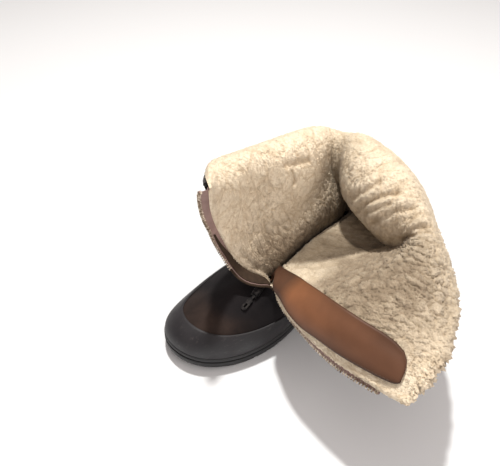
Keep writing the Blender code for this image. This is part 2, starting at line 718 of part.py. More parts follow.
def make_pull_tab(skin, parts, cutters):
    frame = hinge_frame(skin)
    wide, long, thick = TAB_SIZE
    barrel_length = wide - 2 * EAR_SIZE[0] - 2 * GAP
    mesh = bpy.data.meshes.new("pull_tab")
    form = bmesh.new()
    turn = Matrix.Rotation(math.pi / 2, 4, "Y")
    bmesh.ops.create_cone(form, cap_ends=True, segments=12, radius1=BARREL_RADIUS, radius2=BARREL_RADIUS,
                          depth=barrel_length, matrix=turn)
    form.to_mesh(mesh)
    form.free()
    mesh.materials.append(material("brass"))
    tab = bpy.data.objects.new("pull_tab", mesh)
    tab.matrix_world = frame
    parts.objects.link(tab)
    neck_size = (barrel_length - 2 * GAP, TAB_NECK + 0.001, thick)
    neck_place = frame @ Matrix.Translation((0, -(TAB_NECK + 0.001) / 2, 0))
    blade_place = frame @ Matrix.Translation((0, -TAB_NECK - long / 2, 0))
    for name, size, place in (("neck", neck_size, neck_place), ("blade", TAB_SIZE, blade_place)):
        cut(tab, as_cutter(box_object(name, size, place, "brass", cutters)), "UNION")


def main():
    clear_scene()
    parts = new_collection("flying_boot")
    cutters = new_collection("cutters")
    skin = Skin()
    make_outsole(parts, cutters)
    make_heel(parts, cutters)
    make_insole(parts)
    make_upper(skin, parts)
    make_rand(skin, parts)
    make_lining(skin, parts)
    make_tapes(skin, parts)
    make_facing(skin, parts)
    make_guard(skin, parts)
    make_binding(skin, parts)
    for side in ("right", "left"):
        make_chain(skin, side, parts)
        make_top_stop(skin, side, parts)
    make_slider(skin, parts, cutters)
    make_pull_tab(skin, parts, cutters)


main()
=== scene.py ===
"""The looks of a left flying boot, lined with sheepskin and unzipped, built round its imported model.

The file follows the boot as it is put together: studio, outsole, heel, insole, leather, rand, fleece, hem
binding, zip, facing, guard flap, slider and pull tab. Metres, +Z up, -Y to the toe, +X to the wearer's left.
"""
import math

import bmesh
import bpy
import numpy as np
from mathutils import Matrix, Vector


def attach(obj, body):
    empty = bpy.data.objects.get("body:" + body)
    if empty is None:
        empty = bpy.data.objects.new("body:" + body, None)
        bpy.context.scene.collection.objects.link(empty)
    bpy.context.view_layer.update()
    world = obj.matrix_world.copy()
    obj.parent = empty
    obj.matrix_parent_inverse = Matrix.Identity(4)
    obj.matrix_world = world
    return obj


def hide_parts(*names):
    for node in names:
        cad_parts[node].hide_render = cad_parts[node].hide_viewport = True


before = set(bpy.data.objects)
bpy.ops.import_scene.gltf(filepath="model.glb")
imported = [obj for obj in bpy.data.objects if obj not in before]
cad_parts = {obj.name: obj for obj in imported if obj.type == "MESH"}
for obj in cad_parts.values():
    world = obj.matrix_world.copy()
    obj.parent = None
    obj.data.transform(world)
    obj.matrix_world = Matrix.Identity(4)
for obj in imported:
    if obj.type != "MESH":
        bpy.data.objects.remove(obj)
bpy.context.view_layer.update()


# ==== Studio ====
# A pale floor under a soft ceiling light, seen from above the toe on the wearer's left. The strongest lamp
# hangs behind the boot, so that the rolled back shades the hollow in front of it.
CAMERA_PLACE = (0.287, -0.327, 0.4832)
CAMERA_HEADING = 45.0       # degrees to the left of the +Y axis
CAMERA_DIP = 42.0           # degrees below the horizon
CAMERA_LENS = 37.44         # millimetres
FLOOR_COLOUR = (0.87, 0.895, 0.92)
FLOOR_HALF = 6.0            # half the floor's breadth
LAMPS = [  # name, place, size, watts, colour
    ("key", (-0.31, 0.20, 1.92), 0.10, 32.0, (1.0, 0.975, 0.93)),
    ("room", (1.30, 0.05, 0.80), 0.90, 7.5, (1.0, 0.93, 0.88)),
    ("ceiling", (0.30, -0.50, 1.80), 1.60, 4.0, (1.0, 0.94, 0.90)),
]
ROOM_LIGHT = (1.0, 0.885, 0.835)
ROOM_STRENGTH = 0.39
LAMPS_AIM = (0.08, 0.0, 0.1)  # what every lamp points at

scene = bpy.context.scene
scene.view_settings.view_transform = "Standard"
camera = bpy.data.objects.new("camera", bpy.data.cameras.new("camera"))
scene.collection.objects.link(camera)
camera.data.lens = CAMERA_LENS
camera.location = CAMERA_PLACE
heading, dip = math.radians(CAMERA_HEADING), math.radians(CAMERA_DIP)
looking = Vector((-math.sin(heading) * math.cos(dip), math.cos(heading) * math.cos(dip), -math.sin(dip)))
camera.rotation_mode = "QUATERNION"
camera.rotation_quaternion = looking.to_track_quat("-Z", "Y")
scene.camera = camera

scene.world = bpy.data.worlds.new("room")
scene.world.use_nodes = True
sky = scene.world.node_tree.nodes["Background"]
sky.inputs["Color"].default_value = (*ROOM_LIGHT, 1)
sky.inputs["Strength"].default_value = ROOM_STRENGTH
for name, place, size, watts, colour in LAMPS:
    lamp = bpy.data.objects.new("lamp_" + name, bpy.data.lights.new("lamp_" + name, "AREA"))
    lamp.data.size = size
    lamp.data.energy = watts
    lamp.data.color = colour
    lamp.location = place
    lamp.rotation_mode = "QUATERNION"
    lamp.rotation_quaternion = (Vector(LAMPS_AIM) - Vector(place)).to_track_quat("-Z", "Y")
    scene.collection.objects.link(lamp)


def nodes_of(material_name):
    """A new material, its node tree and its shader."""
    material = bpy.data.materials.new(material_name)
    material.use_nodes = True
    tree = material.node_tree
    return material, tree, tree.nodes["Principled BSDF"]


def add(tree, kind, links=(), **values):
    """A node of the given kind. `values` set its settings or sockets by name; `links` feed its sockets."""
    node = tree.nodes.new(kind)
    for key, value in values.items():
        if hasattr(node, key):
            setattr(node, key, value)
        else:
            node.inputs[key.replace("_", " ")].default_value = value
    for socket, source in links:
        tree.links.new(source, node.inputs[socket])
    return node


floor_material, tree, shader = nodes_of("studio_floor")
shader.inputs["Base Color"].default_value = (*FLOOR_COLOUR, 1)
shader.inputs["Roughness"].default_value = 0.7
floor_mesh = bpy.data.meshes.new("studio_floor")
corners = [(x * FLOOR_HALF, y * FLOOR_HALF, 0) for x, y in ((-1, -1), (1, -1), (1, 1), (-1, 1))]
floor_mesh.from_pydata(corners, [], [(0, 1, 2, 3)])
floor_mesh.materials.append(floor_material)
floor = bpy.data.objects.new("studio_floor", floor_mesh)
scene.collection.objects.link(floor)


# ==== Outsole ====
# A moulded black rubber sole, thick under the forefoot and rising to the heel seat, with a groove round its
# side where the wall meets the welt band, and bars cut across its tread.
SOLE_LENGTH = 0.304
SOLE_THICK = 0.015
HEEL_HEIGHT = 0.014
SEAT_RISE = 0.011           # how much higher the foot stands at the seat than at the ball
SEAT_RISE_Y = (-0.030, 0.095)  # where it rises
TOE_SPRING = 0.010          # how far the tip of the toe curls up off the floor
TOE_SPRING_Y = -0.100       # where it starts to
TOE_SPRING_BEND = 1.35
ARCH_Y = (0.014, 0.060)     # where the tread climbs on to the heel block
EVEN_STEPS = 0.22           # evens out the steps between the stations
SOLE_BREADTH = [  # station, wearer's right, wearer's left
    ("toe tip", -0.004, -0.004),
    ("toe", -0.034, 0.028),
    ("toe joint", -0.050, 0.050),
    ("ball", -0.053, 0.062),
    ("waist", -0.046, 0.056),
    ("arch", -0.040, 0.045),
    ("seat", -0.0385, 0.041),
    ("heel", -0.027, 0.029),
    ("heel tip", 0.001, 0.001),
]
SOLE_SIDE = [  # step of the side, inset from the outline, share of the height
    ("tread bevel", 0.0022, 0.00),
    ("tread edge", 0.0006, 0.08),
    ("lower wall", 0.0000, 0.20),
    ("wall", 0.0000, 0.50),
    ("wall top", 0.0005, 0.545),
    ("groove floor", 0.0020, 0.575),
    ("groove roof", 0.0020, 0.645),
    ("band foot", 0.0006, 0.68),
    ("band", 0.0002, 0.76),
    ("band top", 0.0004, 0.90),
    ("welt shoulder", 0.0010, 0.97),
    ("welt edge", 0.0022, 1.00),
]
SOLE_POINTS = 240           # points round the outline
TREAD_GROOVES_Y = (-0.088, -0.072, -0.056, -0.040, -0.024, 0.016)
GROOVE_SIZE = (0.200, 0.004, 0.003)  # across the sole, along it, deep


def spline(knots, values, at):
    """Natural cubic spline through values[k] at knots[k], read at each number of `at`."""
    knots = np.asarray(knots, float)
    values = np.asarray(values, float)
    at = np.asarray(at, float)
    count = len(knots)
    step = np.diff(knots)
    system = np.eye(count)
    right = np.zeros_like(values)
    for k in range(1, count - 1):
        system[k, k - 1:k + 2] = step[k - 1], 2 * (step[k - 1] + step[k]), step[k]
        right[k] = 6 * ((values[k + 1] - values[k]) / step[k] - (values[k] - values[k - 1]) / step[k - 1])
    bend = np.linalg.solve(system, right.reshape(count, -1)).reshape(values.shape)
    k = np.clip(np.searchsorted(knots, at) - 1, 0, count - 2)
    column = (-1,) + (1,) * (values.ndim - 1)
    t = (at - knots[k]).reshape(column)
    h = step[k].reshape(column)
    slope = (values[k + 1] - values[k]) / h - h * (2 * bend[k] + bend[k + 1]) / 6
    return values[k] + slope * t + bend[k] / 2 * t * t + (bend[k + 1] - bend[k]) / (6 * h) * t ** 3


def round_spline(values, at):
    """The same through a closed ring of values at equal steps of 0 to 1."""
    values = np.asarray(values, float)
    count = len(values)
    wrap = np.arange(-3, count + 4)
    return spline(wrap / count, values[wrap % count], np.asarray(at, float) % 1.0)


def ease(start, end, at):
    """0 before `start`, 1 after `end`, and smooth between them."""
    t = np.clip((np.asarray(at, float) - start) / (end - start), 0, 1)
    return t * t * (3 - 2 * t)


def sole_outline(at, inset=0.0):
    """Points of the sole's outline, from the toe (0) by the wearer's right (0.25), heel (0.5) and left."""
    right = [row[1] for row in SOLE_BREADTH]
    left = [row[2] for row in SOLE_BREADTH]
    ring = right + left[-2:0:-1]

    def plain(t):
        return np.stack([round_spline(ring, t), -SOLE_LENGTH / 2 * np.cos(2 * np.pi * t)], axis=-1)

    at = np.asarray(at, float)
    at = at + EVEN_STEPS / (4 * np.pi) * np.sin(4 * np.pi * at)
    tangent = plain(at + 1e-4) - plain(at - 1e-4)
    tangent /= np.linalg.norm(tangent, axis=-1, keepdims=True)
    inward = np.stack([tangent[..., 1], -tangent[..., 0]], axis=-1)
    return plain(at) + inset * inward


def toe_spring(y):
    """How far the sole is curled up off the floor."""
    past = np.clip((TOE_SPRING_Y - y) / (TOE_SPRING_Y + SOLE_LENGTH / 2), 0, None)
    return TOE_SPRING * past ** TOE_SPRING_BEND


def tread_height(y):
    """Underside of the outsole."""
    return toe_spring(y) + HEEL_HEIGHT * ease(*ARCH_Y, y)


def seat_height(y):
    """Top of the outsole, which the leather and the insole stand on."""
    return toe_spring(y) + SOLE_THICK + SEAT_RISE * ease(*SEAT_RISE_Y, y)


def lofted(levels, count):
    """Faces of a closed solid through equal rings of `count` points, each seen anticlockwise from its end."""
    sides = []
    for i in range(0, (levels - 1) * count, count):
        for k in range(count):
            after = (k + 1) % count
            sides.append((i + k, i + after, i + count + after, i + count + k))
    return sides + [tuple(reversed(range(count))), tuple((levels - 1) * count + k for k in range(count))]


def flipped(faces):
    """The same faces seen from their other side, each from the same first corner."""
    return [face[:1] + face[:0:-1] for face in faces]


def mesh_piece(name, points, faces, material, smooth_angle=40.0):
    """A new object at the origin with its place in its mesh, shaded smooth up to the given angle."""
    mesh = bpy.data.meshes.new(name)
    mesh.from_pydata(np.asarray(points, float).tolist(), [], faces)
    mesh.materials.append(material)
    mesh.shade_smooth()
    mesh.set_sharp_from_angle(angle=math.radians(smooth_angle))
    piece = bpy.data.objects.new(name, mesh)
    scene.collection.objects.link(piece)
    return piece


def stacked_rings(rings):
    """Points and faces of a closed solid from equal rings, bottom to top, each from the toe by the right."""
    count = len(rings[0])
    faces = flipped(lofted(len(rings), count)[:-2])
    top = (len(rings) - 1) * count
    for i in range(count // 2):
        strip = list(dict.fromkeys((i, i + 1, count - i - 1, (count - i) % count)))
        faces += [tuple(strip), tuple(top + k for k in reversed(strip))]
    return np.concatenate(rings), faces


def bars_across(name, places, size, top):
    """Boxes across the tread, one for each groove, as one cutter."""
    mesh = bpy.data.meshes.new(name)
    form = bmesh.new()
    long, wide, deep = size
    for y in places:
        made = bmesh.ops.create_cube(form, size=1.0)
        bmesh.ops.scale(form, vec=(long, wide, 2 * deep), verts=made["verts"])
        bmesh.ops.translate(form, vec=(0, y, top - deep), verts=made["verts"])
    form.to_mesh(mesh)
    form.free()
    cutter = bpy.data.objects.new(name, mesh)
    scene.collection.objects.link(cutter)
    return cutter


def plain_mesh(piece):
    """Turns an object's evaluated result into its plain mesh, with no modifiers left."""
    depsgraph = bpy.context.evaluated_depsgraph_get()
    result = bpy.data.meshes.new_from_object(piece.evaluated_get(depsgraph), depsgraph=depsgraph)
    piece.modifiers.clear()
    old = piece.data
    piece.data = result
    if isinstance(old, bpy.types.Mesh):
        bpy.data.meshes.remove(old)
    return piece


def cut_away(piece, cutter):
    """Cuts one object out of another for good."""
    modifier = piece.modifiers.new("cut", "BOOLEAN")
    modifier.solver = "EXACT"
    modifier.object = cutter
    plain_mesh(piece)
    bpy.data.objects.remove(cutter, do_unlink=True)


def place_of(tree):
    """Where each point of a piece is, in metres."""
    return add(tree, "ShaderNodeTexCoord").outputs["Object"]


def rescaled(tree, value, low, high, start=0.0, end=1.0):
    """Runs from `low` to `high` while the value given runs from `start` to `end`."""
    return add(tree, "ShaderNodeMapRange", [("Value", value)], From_Min=start, From_Max=end, To_Min=low,
               To_Max=high).outputs[0]


def wear_group():
    """Noise shared by the leathers, the rubber and the board: broad patches, scuffs and fine grain."""
    group = bpy.data.node_groups.new("wear", "ShaderNodeTree")
    for label, kind, in_out in (("Vector", "Vector", "INPUT"), ("Patch Scale", "Float", "INPUT"),
                                ("Grain Scale", "Float", "INPUT"), ("Patch", "Float", "OUTPUT"),
                                ("Scuff", "Float", "OUTPUT"), ("Grain", "Float", "OUTPUT")):
        group.interface.new_socket(name=label, in_out=in_out, socket_type="NodeSocket" + kind)
    given = add(group, "NodeGroupInput").outputs
    patch = add(group, "ShaderNodeTexNoise", [("Vector", given["Vector"]), ("Scale", given["Patch Scale"])],
                Detail=4.0, Roughness=0.55)
    drawn = add(group, "ShaderNodeVectorMath", [(0, given["Vector"])], operation="MULTIPLY")
    drawn.inputs[1].default_value = (1.0, 0.35, 1.0)
    scrape = add(group, "ShaderNodeTexNoise", [("Vector", drawn.outputs[0])], Scale=260.0, Detail=5.0,
                 Roughness=0.7)
    fine = add(group, "ShaderNodeTexNoise", [("Vector", given["Vector"]), ("Scale", given["Grain Scale"])],
               Detail=4.0, Roughness=0.6)
    add(group, "NodeGroupOutput", [("Patch", rescaled(group, patch.outputs["Fac"], 0.0, 1.0, 0.32, 0.68)),
                                   ("Scuff", rescaled(group, scrape.outputs["Fac"], 0.0, 1.0, 0.56, 0.72)),
                                   ("Grain", fine.outputs["Fac"])])
    return group


def worn(tree, patch_scale, grain_scale):
    """The outputs of the wear group, standing in a material."""
    node = add(tree, "ShaderNodeGroup", node_tree=wear)
    tree.links.new(place_of(tree), node.inputs["Vector"])
    node.inputs["Patch Scale"].default_value = patch_scale
    node.inputs["Grain Scale"].default_value = grain_scale
    return node.outputs


def blend(tree, factor, first, second):
    """Two colours mixed by a factor. Each may be a colour or the output of another blend."""
    node = add(tree, "ShaderNodeMix", [("Factor", factor)], data_type="RGBA")
    for socket, colour in ((6, first), (7, second)):
        if isinstance(colour, tuple):
            node.inputs[socket].default_value = (*colour, 1)
        else:
            tree.links.new(colour, node.inputs[socket])
    return node.outputs[2]


def coloured(tree, shader, colour, **settings):
    """Links a shader's colour, and sets the constants of its other sockets by name."""
    tree.links.new(colour, shader.inputs["Base Color"])
    for name, value in settings.items():
        shader.inputs[name.replace("_", " ")].default_value = value


def roughened(tree, shader, height, strength, distance):
    """Raises a surface by a pattern's height."""
    raised = add(tree, "ShaderNodeBump", [("Height", height)], Strength=strength, Distance=distance)
    tree.links.new(raised.outputs["Normal"], shader.inputs["Normal"])


def worn_finish(name, scales, tones, scuffed, grain, dullness):
    """A finish of two tones in patches with lighter scuffs. `scales` are those of its patches and its grain,
    `grain` is how strong and deep that is, and `dullness` is the roughness of each tone."""
    material, tree, shader = nodes_of(name)
    wear_here = worn(tree, *scales)
    tone = blend(tree, wear_here["Scuff"], blend(tree, wear_here["Patch"], *tones), scuffed)
    coloured(tree, shader, tone, Roughness=dullness[0])
    if dullness[0] != dullness[1]:
        tree.links.new(rescaled(tree, wear_here["Patch"], *dullness), shader.inputs["Roughness"])
    roughened(tree, shader, wear_here["Grain"], *grain)
    return material


wear = wear_group()
rubber = worn_finish("black_rubber", (40.0, 600.0), ((0.0155, 0.0160, 0.0175), (0.0245, 0.0250, 0.0270)),
                     (0.046, 0.045, 0.045), (0.15, 0.0003), (0.52, 0.72))

rings = []
for _, inset, share in SOLE_SIDE:
    ring = sole_outline(np.arange(SOLE_POINTS) / SOLE_POINTS, inset)
    low, high = tread_height(ring[:, 1]), seat_height(ring[:, 1])
    rings.append(np.column_stack([ring, low + share * (high - low)]))
outsole = mesh_piece("outsole_rubber", *stacked_rings(rings), rubber, 30)
cut_away(outsole, bars_across("tread_bars", TREAD_GROOVES_Y, GROOVE_SIZE, GROOVE_SIZE[2]))
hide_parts("outsole")
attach(outsole, "boot")


# ==== Heel ====
# A moulded rubber block under the back of the sole. It is straight across at its breast, bevelled round its
# tread and cut across with bars.
HEEL_BREAST_Y = 0.066       # its front face
HEEL_SIDE = [  # step of the side, inset from the outline, height
    ("tread bevel", 0.0042, 0.0000),
    ("tread edge", 0.0026, 0.0012),
    ("lower wall", 0.0020, 0.0040),
    ("wall", 0.0012, 0.0110),
    ("top", 0.0010, 0.0137),
]
HEEL_POINTS = 91            # points round from one end of the breast to the other
HEEL_GROOVES_Y = (0.086, 0.106, 0.126)

start = math.acos(-2 * HEEL_BREAST_Y / SOLE_LENGTH) / (2 * math.pi)    # share round the outline at the breast
rings = []
for _, inset, height in HEEL_SIDE:
    ring = sole_outline(np.linspace(start, 1 - start, HEEL_POINTS), inset)
    ring[(0, -1), 1] = HEEL_BREAST_Y - 0.1 * inset
    rings.append(np.column_stack([ring, np.full(HEEL_POINTS, height)]))
*sides, tread, top = lofted(len(rings), HEEL_POINTS)
faces = [tread[::-1], top[::-1]] + flipped(sides)
heel = mesh_piece("heel_rubber", np.concatenate(rings), faces, rubber, 30)
cut_away(heel, bars_across("heel_bars", HEEL_GROOVES_Y, GROOVE_SIZE, GROOVE_SIZE[2]))
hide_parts("heel")
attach(heel, "boot")


# ==== Insole ====
# A board of plain leather that closes the foot underneath. It lies on the sole, and can be seen only down
# through the ankle.
INSOLE_INSET = 0.0066       # in from the outline of the sole
INSOLE_SIDE = [  # step of the side, inset, height over the outsole
    ("foot", 0.0000, 0.0003),
    ("side", 0.0000, 0.0038),
    ("top", 0.0005, 0.0043),
]
INSOLE_POINTS = 120
board = worn_finish("insole_board", (30.0, 500.0), ((0.22, 0.15, 0.09), (0.34, 0.245, 0.155)),
                    (0.17, 0.12, 0.08), (0.3, 0.0003), (0.85, 0.85))
rings = []
for _, inset, lift in INSOLE_SIDE:
    ring = sole_outline(np.arange(INSOLE_POINTS) / INSOLE_POINTS, INSOLE_INSET + inset)
    rings.append(np.column_stack([ring, seat_height(ring[:, 1]) + lift]))
insole = mesh_piece("insole_board", *stacked_rings(rings), board, 30)
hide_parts("insole")
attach(insole, "boot")


# ==== Leather of foot and shaft ====
# Dark brown sheepskin leather, suede side out, in one skin from the feather edge at the sole to the hem. The
# foot is a closed ring; the shaft is open at the zip, buckled over at its back, its left half lying out.
WALL = 0.002                # thickness of the leather
FEATHER_INSET = 0.003       # in from the outline of the sole
FEATHER_LIFT = 0.0006       # above the top of the sole
FOOT_FORM = [  # station, start: rise and spread, end: run and climb, share of the wall under the rand
    ("toe", 0.090, 0.006, 0.080, 0.060, 0.34),
    ("right toe joint", 0.074, 0.003, 0.065, 0.060, 0.26),
    ("right waist", 0.092, 0.024, 0.080, 0.045, 0.26),
    ("right seat", 0.115, 0.022, 0.075, 0.030, 0.30),
    ("heel", 0.140, 0.026, 0.105, 0.000, 0.34),
    ("left seat", 0.120, 0.018, 0.045, 0.040, 0.33),
    ("left waist", 0.105, 0.034, 0.015, 0.055, 0.32),
    ("left toe joint", 0.105, 0.022, 0.045, 0.060, 0.32),
]
ANKLE_HALF = 0.014          # half the breadth of the ankle, which is flattened
ANKLE_FRONT = (0.036, -0.050, 0.078)  # its foremost and its hindmost point
ANKLE_BACK = (0.038, 0.092, 0.098)
SHAFT_FORM = [  # station, low, middle, high, hem
    ("right zip edge", (.008, -.062, .092), (-.010, -.073, .126), (-.008, -.086, .170), (.006, -.101, .212)),
    ("right front", (.008, -.034, .104), (-.008, -.031, .144), (-.016, -.036, .184), (-.038, -.054, .184)),
    ("right side", (.013, .014, .123), (.010, .012, .158), (-.006, .016, .190), (-.038, .024, .168)),
    ("right back", (.019, .065, .129), (.010, .072, .158), (-.001, .086, .181), (-.018, .102, .152)),
    ("back", (.052, .086, .122), (.056, .058, .154), (.062, .078, .188), (.074, .112, .152)),
    ("left back", (.096, .072, .106), (.110, .042, .144), (.118, .056, .170), (.132, .082, .132)),
    ("left side", (.098, .028, .104), (.134, .042, .122), (.158, .022, .150), (.186, .028, .122)),
    ("left front", (.074, -.044, .100), (.118, -.052, .122), (.168, -.050, .140), (.220, -.038, .126)),
    ("left zip edge", (.076, -.070, .088), (.122, -.084, .098), (.172, -.092, .104), (.224, -.092, .112)),
]
# Shares of the way round, and of the shaft's height, of the lattice that the skin is drawn through.
COLUMNS = np.concatenate([[0, .010, .014, .019, .034, .040, .060], np.linspace(.090, .910, 24),
                          [.940, .960, .966, .981, .986, .990, 1]])
SHAFT_ROWS = (0, .075, .13, .17, .24, .31, .38, .46, .54, .62, .70, .78, .86, .93, .965, .975, 1.0)
RAND_ROWS = 4               # rows of the lattice under the rand
VAMP_ROWS = 6               # and from there to the ankle
ANKLE_ROW = RAND_ROWS + VAMP_ROWS


def ankle_ring(at):
    """A flattened tube, seen from above: 0 at the zip, 0.25 wearer's right, 0.5 back, 0.75 left."""
    front, back = np.array(ANKLE_FRONT), np.array(ANKLE_BACK)
    straight = back[1] - front[1] - 2 * ANKLE_HALF
    quarter = math.pi * ANKLE_HALF / 2
    points = []
    for t in np.asarray(at, float) * (2 * straight + 4 * quarter):
        if t <= quarter:
            x, y = -math.sin(t / ANKLE_HALF), 1 - math.cos(t / ANKLE_HALF)
        elif t <= quarter + straight:
            x, y = -1, 1 + (t - quarter) / ANKLE_HALF
        elif t <= 3 * quarter + straight:
            turn = (t - quarter - straight) / ANKLE_HALF
            x, y = -math.cos(turn), 1 + straight / ANKLE_HALF + math.sin(turn)
        elif t <= 3 * quarter + 2 * straight:
            x, y = 1, 1 + (3 * quarter + 2 * straight - t) / ANKLE_HALF
        else:
            turn = (t - 3 * quarter - 2 * straight) / ANKLE_HALF
            x, y = math.cos(turn), 1 - math.sin(turn)
        share = y * ANKLE_HALF / (back[1] - front[1])
        spot = front + share * (back - front)
        points.append((spot[0] + x * ANKLE_HALF, spot[1], spot[2]))
    return np.array(points)


def foot_rows(columns):
    """Rows of points from the feather edge to the ankle, and the last of them is the ankle ring."""
    form = round_spline([row[1:] for row in FOOT_FORM], columns)
    feather = sole_outline(columns, FEATHER_INSET)
    start = np.column_stack([feather, seat_height(feather[:, 1]) + FEATHER_LIFT])
    outward = feather - sole_outline(columns, FEATHER_INSET + 0.001)
    outward /= np.linalg.norm(outward, axis=1, keepdims=True)
    end = ankle_ring(columns)
    inward = end[:, :2] - feather
    inward /= np.linalg.norm(inward, axis=1, keepdims=True)
    rise, spread, run, climb, rand = form.T
    leave = np.column_stack([outward * spread[:, None], rise])
    arrive = np.column_stack([inward * run[:, None], climb])
    rows = []
    for row in range(ANKLE_ROW + 1):
        if row <= RAND_ROWS:
            share = rand * row / RAND_ROWS
        else:
            share = rand + (1 - rand) * (row - RAND_ROWS) / VAMP_ROWS
        s = share[:, None]
        rows.append((1 + 2 * s) * (1 - s) ** 2 * start + s * (1 - s) ** 2 * leave
                    + s * s * (3 - 2 * s) * end + s * s * (s - 1) * arrive)
    return rows


def shaft_rows(columns):
    """Rows from the ankle ring to the hem. The first and last columns are the two edges of the zip."""
    levels = [ankle_ring(np.minimum(columns, 1 - 1e-9))]
    for level in (1, 2, 3, 4):
        levels.append(spline(np.linspace(0, 1, len(SHAFT_FORM)), [row[level] for row in SHAFT_FORM], columns))
    return list(spline(np.linspace(0, 1, 5), levels, SHAFT_ROWS))


def skin_lattice():
    """The skin as rows of points, foot and shaft together, with the fold at the ankle eased."""
    foot, shaft = foot_rows(COLUMNS[:-1]), shaft_rows(COLUMNS)
    ring, below, above = foot[-1], foot[-2], shaft[1]
    across = (below + above[:-1]) / 2
    across[0] = (below[0] * 2 + above[0] + above[-1]) / 4
    foot[-1] = ring + 0.5 * (across - ring)
    foot[-2] = below + 0.35 * ((foot[-3] + ring) / 2 - below)
    shaft[1] = above + 0.35 * ((shaft[2] + np.vstack([ring, ring[:1]])) / 2 - above)
    return np.array([np.vstack([row, row[:1]]) for row in foot] + shaft[1:])


lattice = skin_lattice()
steps = np.linalg.norm(np.diff(lattice, axis=0), axis=2).mean(axis=1)
ROW_AT = np.concatenate([[0], np.cumsum(steps)])        # metres up the leather, on average, of each row
ANKLE_AT = ROW_AT[ANKLE_ROW]
HEM_AT = ROW_AT[-1]


def give(mesh, name, values):
    """Writes a number or a vector on each point of a mesh, for its material or its nodes to read."""
    values = np.asarray(values, np.float32)
    kind, part = ("FLOAT", "value") if values.ndim == 1 else ("FLOAT_VECTOR", "vector")
    mesh.attributes.new(name, kind, "POINT").data.foreach_set(part, values.ravel())


def skin(columns, heights):
    """Points of the skin's outer face on a grid: shares of the way round by heights up the leather."""
    wide = spline(ROW_AT, lattice, heights).transpose(1, 0, 2)
    foot = heights <= ANKLE_AT
    points = np.empty((len(columns), len(heights), 3))
    points[:, ~foot] = spline(COLUMNS, wide[:, ~foot], columns)
    wrapped = np.concatenate([COLUMNS[-6:-1] - 1, COLUMNS, COLUMNS[1:6] + 1])
    ring = np.concatenate([wide[-6:-1, foot], wide[:, foot], wide[1:6, foot]])
    points[:, foot] = spline(wrapped, ring, columns)
    return points.transpose(1, 0, 2)


def grid_normals(points, closed_rows=0):
    """Outward normals of a skin grid. The first `closed_rows` rows join at the zip line."""
    across = np.gradient(points, axis=1)
    if closed_rows:
        ends = (points[:closed_rows, 1] - points[:closed_rows, -2]) / 2
        across[:closed_rows, 0] = across[:closed_rows, -1] = ends
    normals = np.cross(np.gradient(points, axis=0), across)
    return normals / np.maximum(np.linalg.norm(normals, axis=2, keepdims=True), 1e-12)


def sheet_faces(keep, closed_rows=0):
    """Quads of a grid where `keep` is true for a cell, turned outwards. The first rows join end to end."""
    high, wide = keep.shape
    number = np.arange((high + 1) * (wide + 1)).reshape(high + 1, wide + 1)
    number[:closed_rows, -1] = number[:closed_rows, 0]
    quads = np.stack([number[:-1, :-1], number[1:, :-1], number[1:, 1:], number[:-1, 1:]], axis=-1)
    return quads[keep]


def two_faced(outer, inner, keep, closed_rows=0, backed=True):
    """Points and faces of a skin between two grids of one layout, over the cells kept. Where it isn't backed
    the outer grid is left open, because another piece lies against it."""
    quads = sheet_faces(keep, closed_rows)
    count = outer.shape[0] * outer.shape[1]
    edges = np.concatenate([quads[:, [k, (k + 1) % 4]] for k in range(4)])
    code = edges[:, 0] * count + edges[:, 1]
    other = edges[:, 1] * count + edges[:, 0]
    rim = edges[~np.isin(code, other)]
    faces = np.concatenate([quads[:len(quads) * backed], quads[:, ::-1] + count,
                            np.column_stack([rim[:, 1], rim[:, 0], rim[:, 0] + count, rim[:, 1] + count])])
    points = np.concatenate([outer.reshape(-1, 3), inner.reshape(-1, 3)])
    used = np.unique(faces)
    number = np.zeros(2 * count, int)
    number[used] = np.arange(len(used))
    return points[used], number[faces].tolist(), used


FOOT_LEVELS = 61            # rows of points up the foot
SHAFT_LEVELS = 90           # and on up the shaft
SKIN_COLUMNS = np.concatenate([[0, .005], np.linspace(.010, .990, 241), [.995, 1]])
SKIN_HEIGHTS = np.concatenate([np.linspace(0, ANKLE_AT, FOOT_LEVELS),
                               np.linspace(ANKLE_AT, HEM_AT, SHAFT_LEVELS + 1)[1:]])

suede, tree, shader = nodes_of("dark_suede")
wear_here = worn(tree, 26.0, 900.0)
# Painted light and painted shadow on the suede: brown nap just above the rand at the toe, where light reaches
# it, and black nap over the rest of the vamp, where the shaft's shadow falls.
light_and_wear = add(tree, "ShaderNodeAttribute", attribute_name="light_and_wear")
black_nap = blend(tree, wear_here["Patch"], (0.0085, 0.0075, 0.0085), (0.0170, 0.0140, 0.0150))
brown_nap = blend(tree, wear_here["Patch"], (0.020, 0.0140, 0.0125), (0.050, 0.033, 0.027))
nap = blend(tree, light_and_wear.outputs["Fac"], black_nap, brown_nap)
coloured(tree, shader, nap, Roughness=0.95, Specular_IOR_Level=0.2)
roughened(tree, shader, wear_here["Grain"], 0.45, 0.0006)
outer = skin(SKIN_COLUMNS, SKIN_HEIGHTS)
normals = grid_normals(outer, FOOT_LEVELS)
keep = np.ones((len(SKIN_HEIGHTS) - 1, len(SKIN_COLUMNS) - 1), bool)
keep[FOOT_LEVELS - 1:, :2] = keep[FOOT_LEVELS - 1:, -2:] = False      # the opening of the zip
points, faces, used = two_faced(outer, outer - WALL * normals, keep, FOOT_LEVELS)
upper = mesh_piece("upper_suede", points, faces, suede, 60)
behind_rand = SKIN_HEIGHTS - ROW_AT[RAND_ROWS]
# Mask of the painted light: 1 just above the rand towards the toe, 0 elsewhere on the leather.
light_and_wear = (ease(0.034, 0.014, behind_rand) * (SKIN_HEIGHTS < ANKLE_AT))[:, None]
light_and_wear = light_and_wear * ease(-0.075, -0.115, outer[..., 1])
give(upper.data, "light_and_wear", np.tile(light_and_wear.ravel(), 2)[used])
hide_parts("upper")
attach(upper, "boot")


